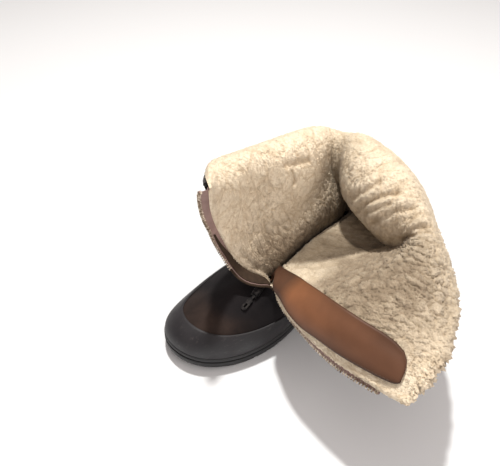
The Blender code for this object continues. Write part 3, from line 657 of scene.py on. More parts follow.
# ==== Rand ====
# Smooth black leather drawn tight round the foot over the lasting margin, from the sole's welt to a skived
# top edge that steps down on to the suede.
RAND_THICK = 0.0016
RAND_SKIVE = 0.22           # rows below its top that are skived
RAND_EDGE = 0.35            # share of its thickness left at the very top
GAP = 0.0003                # between two leathers that lie on each other
RAND_COLUMNS = np.linspace(0, 1, 321)
black_leather = worn_finish("black_leather", (34.0, 700.0),
                            ((0.0105, 0.0095, 0.0120), (0.0195, 0.0170, 0.0200)),
                            (0.042, 0.037, 0.038), (0.22, 0.0004), (0.46, 0.66))

levels = np.linspace(0, RAND_ROWS, 41)
band = skin(RAND_COLUMNS, np.interp(levels, np.arange(len(ROW_AT)), ROW_AT))
normals = grid_normals(band, len(levels))
swell = np.minimum(1, (RAND_ROWS - levels) / RAND_SKIVE) ** 0.5
thick = RAND_THICK * (RAND_EDGE + (1 - RAND_EDGE) * swell)
outer = band + (GAP + thick)[:, None, None] * normals
inner = band + GAP * normals
keep = np.ones((len(levels) - 1, len(RAND_COLUMNS) - 1), bool)
points, faces, _ = two_faced(outer, inner, keep, len(levels))
rand = mesh_piece("rand_leather", points, faces, black_leather, 50)
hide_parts("rand")
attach(rand, "boot")


# ==== Fleece ====
# The pile of the sheepskin, clipped to about 9 mm. Wear has matted it into shallow clumps on the right half,
# and it keeps deep tight curls over the calf. It is shorn short beside the zip, and hangs ragged at the hem.
FLEECE_THICK = 0.009        # depth of the pile
FLEECE_GAP = 0.0006         # between its back and the leather
FLEECE_THINNEST = 0.0003    # what is left of it at a rounded edge
FLEECE_EDGE_SHARE = 0.42    # share of its depth that is left where it is shorn beside the zip
FLEECE_RAMP = (0.004, 0.070)  # shares of the way round from the zip over which it grows to its depth
FLEECE_HALVES = [  # piece, ends as shares of the fleece's width, points round, points up, rounded edges
    ("fleece_right", 0.00, 0.44, 290, 240, (("hem", 0.006), ("right", 0.0045))),
    ("fleece_left", 0.44, 1.00, 410, 230, (("hem", 0.006), ("left", 0.0035))),
]
FOOT_FLEECE_LEVELS = 60     # rows of points up the part in the foot
BINDING_ROOM = 0.0011       # how far its back stands off the leather to clear the hem's binding
FLAP_PRESS = 0.0012         # how far the guard flap presses it down
SHAFT_HIGH = HEM_AT - ANKLE_AT
FLEECE_EDGE_AT = [  # share of the shaft's height, how far past the right edge and the left edge it reaches
    (0.00, 0.0035, -0.0140),
    (0.12, 0.0035, -0.0130),
    (0.30, 0.0025, -0.0060),
    (0.45, 0.0000, 0.0004),
    (0.60, 0.0010, 0.0008),
    (0.80, 0.0025, -0.0004),
    (0.90, 0.0020, 0.0010),
    (1.01, 0.0010, 0.0010),
]
CURL_SIZE = 0.0074          # breadth of the largest curls, and how far they stand up
CURL_DEEP = 0.0044
CURL_STRETCH = 1.3          # how much longer they lie up the leg than round it
SHAFT_ROUND = 0.47          # metres round the shaft
CRACK_SIZE = 0.0150         # breadth of the largest matted clumps, and depth of the cracks between them
CRACK_DEEP = 0.0019
CURL_LAYERS = [(0.72, 1.0, 11, 0.22, 0.70), (0.28, 0.45, 12, 0.20, 0.45)]  # share, size, seed, cleft, sag
CRACK_LAYERS = [(0.45, 1.0, 13, 0.09, 0.20), (0.33, 0.50, 14, 0.13, 0.45), (0.22, 0.22, 15, 0.20, 0.45)]
HEM_OVERHANG = 0.0042       # how far tufts hang out over the hem
LOCKS_PER_AREA = 360000     # to a square metre
LOCK_LEAN = 0.65            # how far a lock may lean either way, in radians
LOCK_NAP = 4.5              # how much more a lock is lit as the pile's face is than by its own sides
SHADE_TINT = (0.150, 0.118, 0.080)  # painted shade: what is left of the wool's colour where shade is painted fully on it
CURLY = [  # patch, share of the way round, share of the height, reach of each, how much it is curl
    ("calf", 0.80, 0.72, 0.10, 0.30, 0.95),
    ("calf hem", 0.73, 0.95, 0.09, 0.25, 0.5),
    ("calf foot", 0.86, 0.50, 0.06, 0.18, 0.30),
]
# Dirt and painted shade together: the calf and right wall patches are dirt with painted shade, the hollow,
# ankle and right wall low patches are painted shade, and the last two patches, below zero, are painted light.
SOIL_AND_SHADING = [  # patch, share of the way round, share of the height, reach of each, how much it greys and darkens the wool
    ("calf", 0.83, 0.54, 0.13, 0.40, 1.35),
    ("hollow", 0.60, 0.20, 0.16, 0.35, 0.60),
    ("ankle", 0.30, 0.00, 0.40, 0.25, 0.70),
    ("right wall", 0.16, 0.35, 0.14, 0.40, 0.12),
    ("right wall low", 0.10, 0.14, 0.13, 0.20, 0.70),
    ("right wall top", 0.16, 0.90, 0.16, 0.20, 0.10),
    ("zip strip", 1.00, 0.55, 0.06, 0.60, -0.45),
    ("painted light patch", 0.865, 0.30, 0.05, 0.13, -0.62),
]
SHADED = [  # patch of painted shade, share round, share of the height, reach of each, how much
    ("wall foot", 0.19, 0.00, 0.08, 0.12, 0.68),
    ("wall back foot", 0.31, 0.08, 0.11, 0.18, 0.72),
    ("valley", 0.43, 0.36, 0.065, 0.30, 0.66),
]
HOLLOW_EDGE = [  # share of the shaft's height, share round where the painted shadow on the floor of the hollow ends
    (0.00, 0.89),
    (0.10, 0.86),
    (0.20, 0.82),
    (0.30, 0.76),
    (0.40, 0.72),
    (0.60, 0.68),
]
HOLLOW_DARK = 0.80
FORMS = [  # rounded form, share round, share of the height, reach of each, how far it moves in x, y and z
    ("brow", 0.53, 0.66, 0.08, 0.18, 0.002, -0.010, -0.002),
    ("right wall foot", 0.22, 0.14, 0.14, 0.12, 0.011, 0.001, -0.002),
    ("right back foot", 0.38, 0.10, 0.08, 0.14, 0.006, 0.000, 0.000),
    ("left sill", 0.76, 0.00, 0.13, 0.09, -0.0060, -0.0005, 0.0040),
]
CREASES = [  # crease, ends and middle as shares round and up, half width, depth
    ("valley", (0.40, 0.72), (0.44, 0.45), (0.45, 0.10), 0.015, 0.0085),
    ("brow 1", (0.530, 0.520), (0.549, 0.599), (0.560, 0.670), 0.0036, 0.0032),
    ("brow 2", (0.558, 0.490), (0.573, 0.590), (0.598, 0.690), 0.0034, 0.0044),
    ("brow 3", (0.572, 0.500), (0.590, 0.570), (0.606, 0.640), 0.0028, 0.0030),
    ("brow 4", (0.602, 0.500), (0.618, 0.600), (0.644, 0.710), 0.0034, 0.0040),
    ("brow 5", (0.631, 0.546), (0.646, 0.631), (0.665, 0.700), 0.0040, 0.0028),
    ("brow end", (0.688, 0.590), (0.707, 0.714), (0.690, 0.735), 0.0034, 0.0050),
    ("wall dent", (0.228, 0.650), (0.250, 0.628), (0.280, 0.605), 0.0030, 0.0028),
    ("wall crack", (0.238, 0.600), (0.241, 0.560), (0.240, 0.520), 0.0016, 0.0026),
]


def scramble(cell, seed):
    """Three even random numbers, 0 to 1, for each whole-number cell."""
    x, y, z = (cell[..., k].astype(np.int64) for k in range(3))
    mixed = (x * 73856093) ^ (y * 19349663) ^ (z * 83492791) ^ (seed * 2654435761)
    numbers = []
    for _ in range(3):
        mixed = (mixed ^ (mixed >> 13)) * 1274126177 & 0xffffffff
        numbers.append(mixed / 4294967296.0)
        mixed = mixed + 974711
    return np.stack(numbers, axis=-1)


def drift(points, size, seed):
    """Smooth random vectors, -1 to 1, that change over about `size`."""
    place = points / size
    cell = np.floor(place).astype(int)
    t = place - cell
    t = t * t * (3 - 2 * t)
    total = np.zeros(points.shape)
    for corner in np.ndindex(2, 2, 2):
        share = np.prod(np.where(corner, t, 1 - t), axis=-1, keepdims=True)
        total += share * scramble(cell + corner, seed)
    return 2 * total - 1


def clumps(points, size, seed, cleft_wide, sag):
    """Height, 0 to 1, of rounded clumps about `size` across with clefts between them."""
    place = (points + 0.32 * size * drift(points, 0.9 * size, seed + 7)) / size
    cell = np.floor(place).astype(int)
    nearest = np.full(points.shape[:-1], 9.0)
    second = np.full(points.shape[:-1], 9.0)
    for corner in np.ndindex(3, 3, 3):
        there = cell + np.array(corner) - 1
        distance = np.linalg.norm(there + scramble(there, seed) - place, axis=-1)
        second = np.minimum(second, np.maximum(nearest, distance))
        nearest = np.minimum(nearest, distance)
    cleft = 1 - np.exp(-(second - nearest) / cleft_wide)
    return cleft * (1 - sag * np.clip(nearest, 0, 1) ** 2)


def layered(points, size, layers):
    """Clumps of several sizes over each other."""
    return sum(share * clumps(points, scale * size, *rest) for share, scale, *rest in layers)


def skin_along(columns, heights):
    """The skin where each row has its own shares of the way round, its outward normals, and how far round
    each point is in metres. Past the two edges of the zip the skin runs straight on."""
    dense = np.linspace(0, 1, 601)
    points = skin(dense, heights)
    normals = grid_normals(points, int((heights <= ANKLE_AT).sum()))
    round_way = np.zeros(points.shape[:2] + (1,))
    round_way[:, 1:, 0] = np.cumsum(np.linalg.norm(np.diff(points, axis=1), axis=2), axis=1)
    found = [np.empty(columns.shape + (width,)) for width in (3, 3, 1)]
    for row in range(len(heights)):
        past = np.where(columns[row] > 0.5, np.maximum(columns[row] - 1, 0), np.minimum(columns[row], 0))
        for grid, result, runs_on in zip((points, normals, round_way), found, (1, 0, 1)):
            first, last = (grid[row, 6] - grid[row, 0]) / dense[6], (grid[row, -1] - grid[row, -7]) / dense[6]
            for k in range(grid.shape[-1]):
                slope = np.where(columns[row] > 0.5, last[k], first[k]) * runs_on
                result[row, :, k] = np.interp(columns[row], dense, grid[row, :, k]) + past * slope
    found[1] /= np.linalg.norm(found[1], axis=-1, keepdims=True)
    return found[0], found[1], found[2][..., 0]


def unit(vectors):
    """Rows of vectors, each made 1 long."""
    return vectors / np.linalg.norm(vectors, axis=1, keepdims=True)


def near_path(points, path):
    """Distance of each point from the nearest of the points of a path."""
    return np.min([np.linalg.norm(points - spot, axis=-1) for spot in path], axis=0)


def path_on_skin(stops, count):
    """Points of the skin along a soft line through stops given as shares round and up the shaft."""
    way = np.linspace(0, 1, count)
    marks = np.linspace(0, 1, len(stops))
    shares_round, shares_up = (spline(marks, [stop[k] for stop in stops], way) for k in (0, 1))
    return np.array([skin(np.array([u]), np.array([ANKLE_AT + SHAFT_HIGH * v]))[0, 0]
                     for u, v in zip(shares_round, shares_up)])


def between(table, shares, column):
    """A column of a table, read between its rows by its first column."""
    table = np.array(table)
    return np.interp(shares, table[:, 0], table[:, column])


def near(columns, shares, u, v, reach_u, reach_v):
    """1 at a spot given as shares round and up the shaft, and falling off softly round it."""
    return np.exp(-((columns - u) / reach_u) ** 2 - ((shares - v) / reach_v) ** 2)


def patches(table, columns, shares):
    """How strongly the soft round patches of a table lie on each point."""
    return np.clip(sum(strength * near(columns, shares, *spot) for _, *spot, strength in table), 0, 1)


def pushed(columns, shares):
    """How far the rounded forms of the shaft push each point of the pile."""
    return sum(near(columns, shares, *row[1:5])[..., None] * row[5:] for row in FORMS)


def fleece_grown(columns, shares):
    """How far the pile is grown, 0 to 1, by the shares of the way round and of the shaft's height."""
    beside_zip = ease(*FLEECE_RAMP, np.minimum(columns, 1 - columns))
    return np.maximum(beside_zip, np.clip(-shares / 0.18, 0, 1))


def fleece_face_depth(columns, shares):
    """Depth of the pile's even face below the skin's outer face."""
    grown = fleece_grown(columns, shares)
    return WALL + FLEECE_GAP + FLEECE_THICK * (FLEECE_EDGE_SHARE + (1 - FLEECE_EDGE_SHARE) * grown)


FLAP_OUTLINE = [  # share of the shaft's height, share of the way round at the sewn edge and at the free edge
    (-0.060, 0.935, 0.915),
    (0.000, 0.960, 0.909),
    (0.062, 0.968, 0.899),
    (0.126, 0.962, 0.889),
    (0.180, 0.952, 0.884),
    (0.228, 0.945, 0.881),
    (0.290, 0.943, 0.881),
    (0.348, 0.955, 0.884),
    (0.404, 0.963, 0.887),
    (0.478, 0.971, 0.891),
    (0.562, 0.972, 0.896),
    (0.665, 0.977, 0.902),
    (0.728, 0.978, 0.906),
    (0.786, 0.9785, 0.909),
    (0.832, 0.9785, 0.914),
    (0.866, 0.9785, 0.921),
    (0.895, 0.9780, 0.933),
    (0.912, 0.9770, 0.947),
    (0.924, 0.9740, 0.962),
    (0.928, 0.9710, 0.969),
]


def under_flap(columns, shares):
    """1 where the guard flap presses on the pile, falling to 0 just past its edges."""
    sewn, free = (between(FLAP_OUTLINE, shares, k) for k in (1, 2))
    inside = np.minimum(sewn - columns, columns - free) / 0.008
    return np.clip(inside, 0, 1) * ease(0.93, 0.90, shares)


def hollow_shade(columns, shares):
    """How much painted shadow of the brow lies on the floor of the hollow under it."""
    end = between(HOLLOW_EDGE, shares, 1)
    floor = ease(0.0, 1.0, (end - columns) / 0.045 + 0.5) * ease(0.50, 0.56, columns)
    return floor * ease(0.66, 0.25, shares) * HOLLOW_DARK * (0.10 + 0.90 * ease(0.67, 0.77, columns))


def rounded_edges(edges, heights, round_way):
    """Share of the pile's depth left by the rounding of its edges, each given with its radius."""
    left = np.ones(round_way.shape)
    for side, wide in edges:
        away = {"hem": (heights[-1] - heights)[:, None] + 0 * round_way,
                "right": round_way - round_way[:, :1], "left": round_way[:, -1:] - round_way}[side]
        left = left * np.sqrt(1 - (1 - np.clip(away / wide, 0, 1)) ** 2)
    return left


def fleece_piece(name, columns, heights, closed_rows=0, rounded=()):
    """One part of the fleece, from its edge against the leather to its clumped face. A part with closed rows
    lies in the foot, without curls, flap or hem."""
    surface, normals, round_way = skin_along(columns, heights)
    shares = ((heights - ANKLE_AT) / SHAFT_HIGH)[:, None]
    grown = fleece_grown(columns, shares)
    back_depth = WALL + FLEECE_GAP + BINDING_ROOM * ease(0.965, 0.98, shares) + 0 * columns
    face_depth = fleece_face_depth(columns, shares)
    fold = np.zeros(columns.shape)
    for _, start, middle, end, half_width, deep in CREASES:
        reach = np.exp(-(near_path(surface, path_on_skin((start, middle, end), 25)) / half_width) ** 2)
        face_depth = face_depth - deep * reach
        fold = np.maximum(fold, reach * (half_width < 0.01))
    if closed_rows:
        lying = surface - 0.8 * face_depth[..., None] * normals
        pressed = np.zeros(columns.shape)
        # Inside the foot: painted shade all over, and dirt with painted shade.
        shaded, soil_and_shading = np.full(columns.shape, 0.8), np.full(columns.shape, 0.85)
    else:
        lying = np.stack([columns * SHAFT_ROUND, heights[:, None] / CURL_STRETCH + 0 * columns,
                          0 * columns], -1)
        pressed = under_flap(columns, shares)
        # Painted shade from the shaded patches, and the painted shadow on the hollow's floor.
        shaded = np.maximum(patches(SHADED, columns, shares), hollow_shade(columns, shares))
        # Dirt, painted shade and painted light from the soil patches.
        soil_and_shading = patches(SOIL_AND_SHADING, columns, shares)
    curly = patches(CURLY, columns, shares) * grown * (1 - pressed)
    curls = layered(lying, CURL_SIZE, CURL_LAYERS)
    cracks = layered(lying, CRACK_SIZE, CRACK_LAYERS)
    slow = drift(lying, 0.03, 3)[..., 0]
    cracked = (0.75 + 0.5 * slow) * (1 - 0.85 * pressed) * (0.45 + 0.55 * grown)
    relief = curly * CURL_DEEP * (curls - 0.50) + (1 - curly) * CRACK_DEEP * cracked * (cracks - 0.68)
    thick = (face_depth - back_depth) * (0.94 + 0.07 * slow) + relief - FLAP_PRESS * pressed
    rounding = rounded_edges(rounded, heights, round_way)
    depth = back_depth + np.maximum(thick * rounding, FLEECE_THINNEST)
    face = surface + pushed(columns, shares) * (rounding ** 2)[..., None] - depth[..., None] * normals
    back = surface - back_depth[..., None] * normals
    if closed_rows:
        face[0, :, 2] = back[0, :, 2]
    else:
        upward = unit(surface[-1] - surface[-4])
        ragged = 0.4 + 0.9 * clumps(lying, 0.006, 21, 0.3, 0.45) + 0.5 * drift(lying, 0.012, 22)[..., 0]
        over = HEM_OVERHANG * ragged * ease(0.93, 1.0, shares) * ease(0.30, 0.62, columns)
        face += over[..., None] * upward
    keep = np.ones((len(heights) - 1, columns.shape[1] - 1), bool)
    points, faces, used = two_faced(back, face, keep, closed_rows, backed=False)
    piece = mesh_piece(name, points, faces, fleece_material, 180)
    # Painted shade: the pile's tone is darkest in the clefts between curls and clumps and along the narrow
    # creases.
    tone = (1 - curly) * cracks ** 1.5 + curly * curls ** 1.2 - 0.35 * fold * (1 - curly)
    locked = (1 - pressed) * ease(0.0, 0.6, rounding) * (1 - 0.6 * shaded)
    nearly_hem = ease(0.955, 0.995, shares) * ease(0.45, 0.70, columns)
    long = 0.75 + 0.25 * grown + 0.35 * curly + 1.5 * nearly_hem
    for label, values in (("pile", np.clip(tone, 0, 1)), ("soil_and_shading", soil_and_shading), ("shaded", shaded),
                          ("locked", locked), ("long", long)):
        give(piece.data, label, np.tile(values.ravel(), 2)[used])
    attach(piece, "boot")
    return piece


def noise(tree, scale, detail):
    """Noise through a piece, in metres."""
    return add(tree, "ShaderNodeTexNoise", [("Vector", place_of(tree))], Scale=scale,
               Detail=detail).outputs["Fac"]


def written(tree, name):
    """What a piece carries on its points under a name."""
    return add(tree, "ShaderNodeAttribute", attribute_name=name).outputs["Fac"]


def ramp(tree, factor, *stops):
    """Colours along a factor. Each stop is a position and a colour."""
    node = add(tree, "ShaderNodeValToRGB", [("Fac", factor)])
    colours = node.color_ramp.elements
    for k, (position, colour) in enumerate(stops):
        stop = colours[k] if k < 2 else colours.new(position)
        stop.position, stop.color = position, (*colour, 1)
    return node.outputs["Color"]


def times(tree, first, second, **settings):
    """The product of two values."""
    return add(tree, "ShaderNodeMath", [(0, first), (1, second)], operation="MULTIPLY", **settings).outputs[0]


fleece_material, tree, shader = nodes_of("sheepskin_fleece")
strands = noise(tree, 620.0, 3.0)
# The pile's tone sets the wool's colour, so its painted shade in clefts and creases comes out through both
# ramps.
lit = add(tree, "ShaderNodeMath", [(0, written(tree, "pile")), (1, strands)], operation="MULTIPLY_ADD")
lit.inputs[2].default_value = 0.18
clean = ramp(tree, lit.outputs[0], (0.10, (0.68, 0.535, 0.360)), (0.52, (0.94, 0.82, 0.635)))
# The darker ramp stands for dirt and painted shade; patches below zero paint light by leaving the clean ramp.
soiled_and_shaded = ramp(tree, lit.outputs[0], (0.12, (0.225, 0.168, 0.110)), (0.60, (0.445, 0.358, 0.258)))
soil_and_shading_spread = rescaled(tree, noise(tree, 75.0, 4.0), 0.75, 1.25, 0.3, 0.7)
soil_and_shading_here = times(tree, written(tree, "soil_and_shading"), soil_and_shading_spread, use_clamp=True)
wool = blend(tree, soil_and_shading_here, clean, soiled_and_shaded)
# Painted shade: the wool is darkened towards the shade tint where the shaded patches and the hollow's painted
# shadow lie.
left_light = blend(tree, written(tree, "shaded"), (1.0, 1.0, 1.0), SHADE_TINT)
shaded_wool = add(tree, "ShaderNodeVectorMath", [(0, wool), (1, left_light)], operation="MULTIPLY")
coloured(tree, shader, shaded_wool.outputs[0], Roughness=1.0, Specular_IOR_Level=0.15, Sheen_Weight=0.12,
         Sheen_Roughness=0.6)
roughened(tree, shader, strands, 0.55, 0.0016)


def shaft_columns(first, last, wide, shares):
    """Shares of the way round for each row, spread between two shares of the fleece's own width."""
    whole_way = np.tile(np.linspace(0, 1, 3), (len(shares), 1))
    edge = skin_along(whole_way, ANKLE_AT + shares * SHAFT_HIGH)[2][:, 2]
    right = (-between(FLEECE_EDGE_AT, shares, 1) / edge)[:, None]
    left = 1 + (between(FLEECE_EDGE_AT, shares, 2) / edge)[:, None]
    return right + np.linspace(first, last, wide) * (left - right)


def fleece_half(name, first, last, wide, high, rounded):
    """One half of the shaft's fleece, on a grid of `wide` by `high` points."""
    shares = np.linspace(-0.001, 0.999, high)
    return fleece_piece(name, shaft_columns(first, last, wide, shares), ANKLE_AT + shares * SHAFT_HIGH,
                        rounded=rounded)


right_fleece, left_fleece = (fleece_half(*half) for half in FLEECE_HALVES)
foot_heights = ROW_AT[1] + np.linspace(0, 1, FOOT_FLEECE_LEVELS) * (ANKLE_AT - ROW_AT[1])
foot_columns = np.tile(np.linspace(0, 1, 241), (FOOT_FLEECE_LEVELS, 1))
foot_fleece = fleece_piece("fleece_foot", foot_columns, foot_heights, FOOT_FLEECE_LEVELS)


def new_tree(name, **inputs):
    """A tree of geometry nodes with named inputs, and the outputs of its input node."""
    tree = bpy.data.node_groups.new(name, "GeometryNodeTree")
    for label, kind in {"Geometry": "Geometry", **inputs}.items():
        label = label.replace("_", " ")
        tree.interface.new_socket(name=label, in_out="INPUT", socket_type="NodeSocket" + kind)
    tree.interface.new_socket(name="Geometry", in_out="OUTPUT", socket_type="NodeSocketGeometry")
    return tree, add(tree, "NodeGroupInput").outputs


def carried(tree, name, kind):
    """What the points of a mesh carry under a name, in a tree of geometry nodes."""
    node = add(tree, "GeometryNodeInputNamedAttribute", data_type=kind)
    node.inputs["Name"].default_value = name
    return node.outputs["Attribute"]


def random_size(tree, least, most, seed):
    """A random number between two others for each point."""
    node = add(tree, "FunctionNodeRandomValue", [(2, least), (3, most), ("Seed", seed)], data_type="FLOAT")
    return node.outputs[1]


def put_on(tree, given, points, turned, scale):
    """Ends a tree: the shape stands on each point as one real mesh, with its finish set."""
    shape = add(tree, "GeometryNodeObjectInfo", [("Object", given["Shape"])])
    placed = add(tree, "GeometryNodeInstanceOnPoints", [("Points", points),
                 ("Instance", shape.outputs["Geometry"]), ("Rotation", turned), ("Scale", scale)])
    whole = add(tree, "GeometryNodeRealizeInstances", [("Geometry", placed.outputs["Instances"])])
    finish = add(tree, "GeometryNodeSetMaterial", [("Geometry", whole.outputs["Geometry"]),
                 ("Material", given["Finish"])])
    add(tree, "NodeGroupOutput", [("Geometry", finish.outputs["Geometry"])])
    return tree


def locks_tree(name):
    """A tree that stands small locks of wool on a surface, thick and long where the surface says so."""
    tree, given = new_tree(name, Shape="Object", Density="Float", Smallest="Float", Largest="Float",
                           Seed="Int", Finish="Material")
    crowd = times(tree, given["Density"], carried(tree, "locked", "FLOAT"))
    spots = add(tree, "GeometryNodeDistributePointsOnFaces", [("Mesh", given["Geometry"]), ("Density", crowd),
                ("Seed", given["Seed"])])
    lean = add(tree, "FunctionNodeRandomValue", [("Seed", given["Seed"])], data_type="FLOAT_VECTOR",
               Min=(-LOCK_LEAN, -LOCK_LEAN, -math.pi), Max=(LOCK_LEAN, LOCK_LEAN, math.pi))
    turned = add(tree, "FunctionNodeRotateRotation", [("Rotation", spots.outputs["Rotation"]),
                 ("Rotate By", lean.outputs["Value"])], rotation_space="LOCAL")
    nap = add(tree, "GeometryNodeStoreNamedAttribute", [("Geometry", spots.outputs["Points"]),
              ("Value", spots.outputs["Normal"])], data_type="FLOAT_VECTOR", domain="POINT")
    nap.inputs["Name"].default_value = "nap"
    size = random_size(tree, given["Smallest"], given["Largest"], given["Seed"])
    return put_on(tree, given, nap.outputs["Geometry"], turned.outputs["Rotation"],
                  times(tree, size, carried(tree, "long", "FLOAT")))


def grown_on(name, base, tree, **values):
    """A plain mesh made by a tree of nodes from a base mesh."""
    maker = bpy.data.objects.new(name, base)
    scene.collection.objects.link(maker)
    modifier = maker.modifiers.new("grow", "NODES")
    modifier.node_group = tree
    sockets = {item.name: item.identifier for item in tree.interface.items_tree if item.in_out == "INPUT"}
    for label, value in values.items():
        modifier[sockets[label.replace("_", " ")]] = value
    bpy.context.view_layer.update()
    made = bpy.data.meshes.new_from_object(maker.evaluated_get(bpy.context.evaluated_depsgraph_get()))
    maker.modifiers.remove(modifier)
    bpy.data.objects.remove(maker)
    made.name = name
    piece = bpy.data.objects.new(name, made)
    scene.collection.objects.link(piece)
    return piece


lock_mesh = bpy.data.meshes.new("lock_shape")
lock_rings = ((-0.0006, 0.0000, 0.0010), (0.0004, 0.0002, 0.0008))      # height, how far over, how thick
lock_points = [(over + thick * math.cos(a), thick * math.sin(a), up) for up, over, thick in lock_rings
               for a in (0.0, math.tau / 3, 2 * math.tau / 3)] + [(0.0008, 0.0, 0.0011)]
lock_faces = [(0, 1, 4, 3), (1, 2, 5, 4), (2, 0, 3, 5), (3, 4, 6), (4, 5, 6), (5, 3, 6)]
lock_mesh.from_pydata(lock_points, [], lock_faces)
lock_mesh.shade_smooth()
lock_shape = bpy.data.objects.new("lock_shape", lock_mesh)
lock_wool = fleece_material.copy()
lock_wool.name = "sheepskin_locks"
tree = lock_wool.node_tree
nap = add(tree, "ShaderNodeAttribute", attribute_name="nap").outputs["Vector"]
mostly = add(tree, "ShaderNodeVectorMath", [(0, nap)], operation="SCALE", Scale=LOCK_NAP).outputs[0]
own = add(tree, "ShaderNodeNewGeometry").outputs["Normal"]
both = add(tree, "ShaderNodeVectorMath", [(0, mostly), (1, own)], operation="ADD").outputs[0]
even = add(tree, "ShaderNodeVectorMath", [(0, both)], operation="NORMALIZE").outputs[0]
tree.links.new(even, tree.nodes["Principled BSDF"].inputs["Normal"])
wool_locks = locks_tree("wool_locks")
for side, fleece, seed in (("right", right_fleece, 3), ("left", left_fleece, 4)):
    locks = grown_on("fleece_locks_" + side, fleece.data, wool_locks, Shape=lock_shape,
                     Density=LOCKS_PER_AREA, Smallest=0.7, Largest=1.25, Seed=seed, Finish=lock_wool)
    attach(locks, "boot")
for fleece in (right_fleece, left_fleece, foot_fleece):
    for label in ("locked", "long"):
        fleece.data.attributes.remove(fleece.data.attributes[label])
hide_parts("fleece_lining")


# ==== Hem binding ====
# A thin strip of black leather folded over the raw edge of the hem, from one half of the zip round to the
# other, and sewn through with waxed thread. The thread is made with the guard flap's.
BINDING_THICK = 0.0008
BINDING_WIDE = 0.0045       # how far down it reaches, inside and outside
HEM_SEAM = 0.003            # its stitches below the hem


def strip_along(line, up, out, section):
    """Points and faces of a closed strip: `section` rows are steps along `out` and `up` at each point."""
    points = np.concatenate([[spot + a * o + b * u for a, b in section] for spot, u, o in zip(line, up, out)])
    return points, lofted(len(line), len(section))


hem_columns = np.linspace(.030, .985, 260)
near_hem = skin(hem_columns, np.array([HEM_AT - 2 * HEM_SEAM, HEM_AT - HEM_SEAM, HEM_AT]))
hem_normals = grid_normals(near_hem)[2]
hem_up = unit(near_hem[2] - near_hem[1])
fold = BINDING_THICK
hem_section = [(GAP, -BINDING_WIDE), (GAP + fold, -BINDING_WIDE), (GAP + fold, -fold), (0.0, GAP + fold),
               (-WALL, GAP + fold), (-WALL - GAP - fold, -fold), (-WALL - GAP - fold, -BINDING_WIDE),
               (-WALL - GAP, -BINDING_WIDE), (-WALL - GAP, GAP), (GAP, GAP)]
points, faces = strip_along(near_hem[2], hem_up, hem_normals, hem_section)
binding = mesh_piece("hem_binding_leather", points, faces, black_leather, 40)
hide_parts("hem_binding")
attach(binding, "boot")


# ==== Zip tapes and facing ====
# Woven cotton tape with a corded edge, sewn inside each edge of the leather. In the lower part of the right
# half a strip of thin brown leather faces the seam between the tape and the pile.
ZIP_LINE = [  # share of the shaft's height, how far the teeth stand past the right edge and the left edge
    (0.00, 0.0130, -0.0060),
    (0.12, 0.0145, -0.0030),
    (0.24, 0.0105, 0.0012),
    (0.34, 0.0085, 0.0042),
    (0.50, 0.0088, 0.0060),
    (0.65, 0.0088, 0.0048),
    (0.80, 0.0088, 0.0022),
    (0.92, 0.0084, 0.0026),
    (1.00, 0.0080, 0.0026),
]
TAPE_THICK = 0.0008
TAPE_UNDER = 0.012          # how far the tape runs in under the pile
TAPE_DEPTH = 0.0016         # depth of its corded edge in the skin
CORD_RADIUS = 0.0008        # of the tape's own cord
COVER_RADIUS = 0.0013       # of the facing's piped edge
FACING_IN = 0.0018          # its strip in from the line of the zip
FACING_TOP = 0.56           # share of the shaft's height where it has tapered away
TEETH_OUT = 0.0006          # how far the middle of the teeth, and the piping, stand out past that line
ZIP_TOP = {"right": 0.980, "left": 0.868}  # share of the shaft's height where each half ends
ZIP_TURN = [(0.0, 0.0), (0.62, 0.0), (0.74, 30.0), (0.88, 62.0), (1.0, 72.0)]  # share of the height, degrees
ZIP_HINGE = 0.0022          # how far past the edge the right half of the zip turns over by those degrees


def zip_edge(side, shares, inward, depth):
    """Points beside the zip at a way in from the teeth and a depth in the skin, with the skin's normals and
    the direction out over the edge."""
    heights = ANKLE_AT + shares * SHAFT_HIGH
    ends = skin_along(np.tile([0.0, 0.01, 0.99, 1.0], (len(shares), 1)), heights)[2]
    if side == "right":
        line = between(ZIP_LINE, shares, 1) - inward
        columns = -line / ((ends[:, 1] - ends[:, 0]) / 0.01)
    else:
        line = between(ZIP_LINE, shares, 2) - inward
        columns = 1 + line / ((ends[:, 3] - ends[:, 2]) / 0.01)
    step = 0.004 if side == "right" else -0.004
    here, normals, _ = skin_along(columns[:, None], heights)
    spots, normals = here[:, 0], normals[:, 0]
    out = unit(spots - skin_along(columns[:, None] + step, heights)[0][:, 0])
    if side == "right":
        turn = np.radians(between(ZIP_TURN, shares, 1))[:, None]
        past = np.clip(line - ZIP_HINGE, 0, None)[:, None]
        spots = spots + past * ((np.cos(turn) - 1) * out + np.sin(turn) * normals)
        turn = turn * (past > 0)
        out, normals = (np.cos(turn) * out + np.sin(turn) * normals,
                        np.cos(turn) * normals - np.sin(turn) * out)
    return spots - depth * normals, normals, out


def edge_strip(side, shares, low, high, depths, faces_at, ways=7):
    """Points and faces of a thin strip beside the zip, from `low` to `high` in from the teeth. `faces_at`
    says how far its two faces lie under its depth."""
    outer, inner = [], []
    for share in np.linspace(0, 1, ways):
        points, normals, _ = zip_edge(side, shares, low + share * (high - low),
                                      depths[0] + share * (depths[1] - depths[0]))
        outer.append(points - faces_at[0] * normals)
        inner.append(points - faces_at[1] * normals)
    outer, inner = np.stack(outer, axis=1), np.stack(inner, axis=1)
    if side == "left":
        outer, inner = outer[:, ::-1], inner[:, ::-1]
    return two_faced(outer, inner, np.ones((len(shares) - 1, ways - 1), bool))[:2]


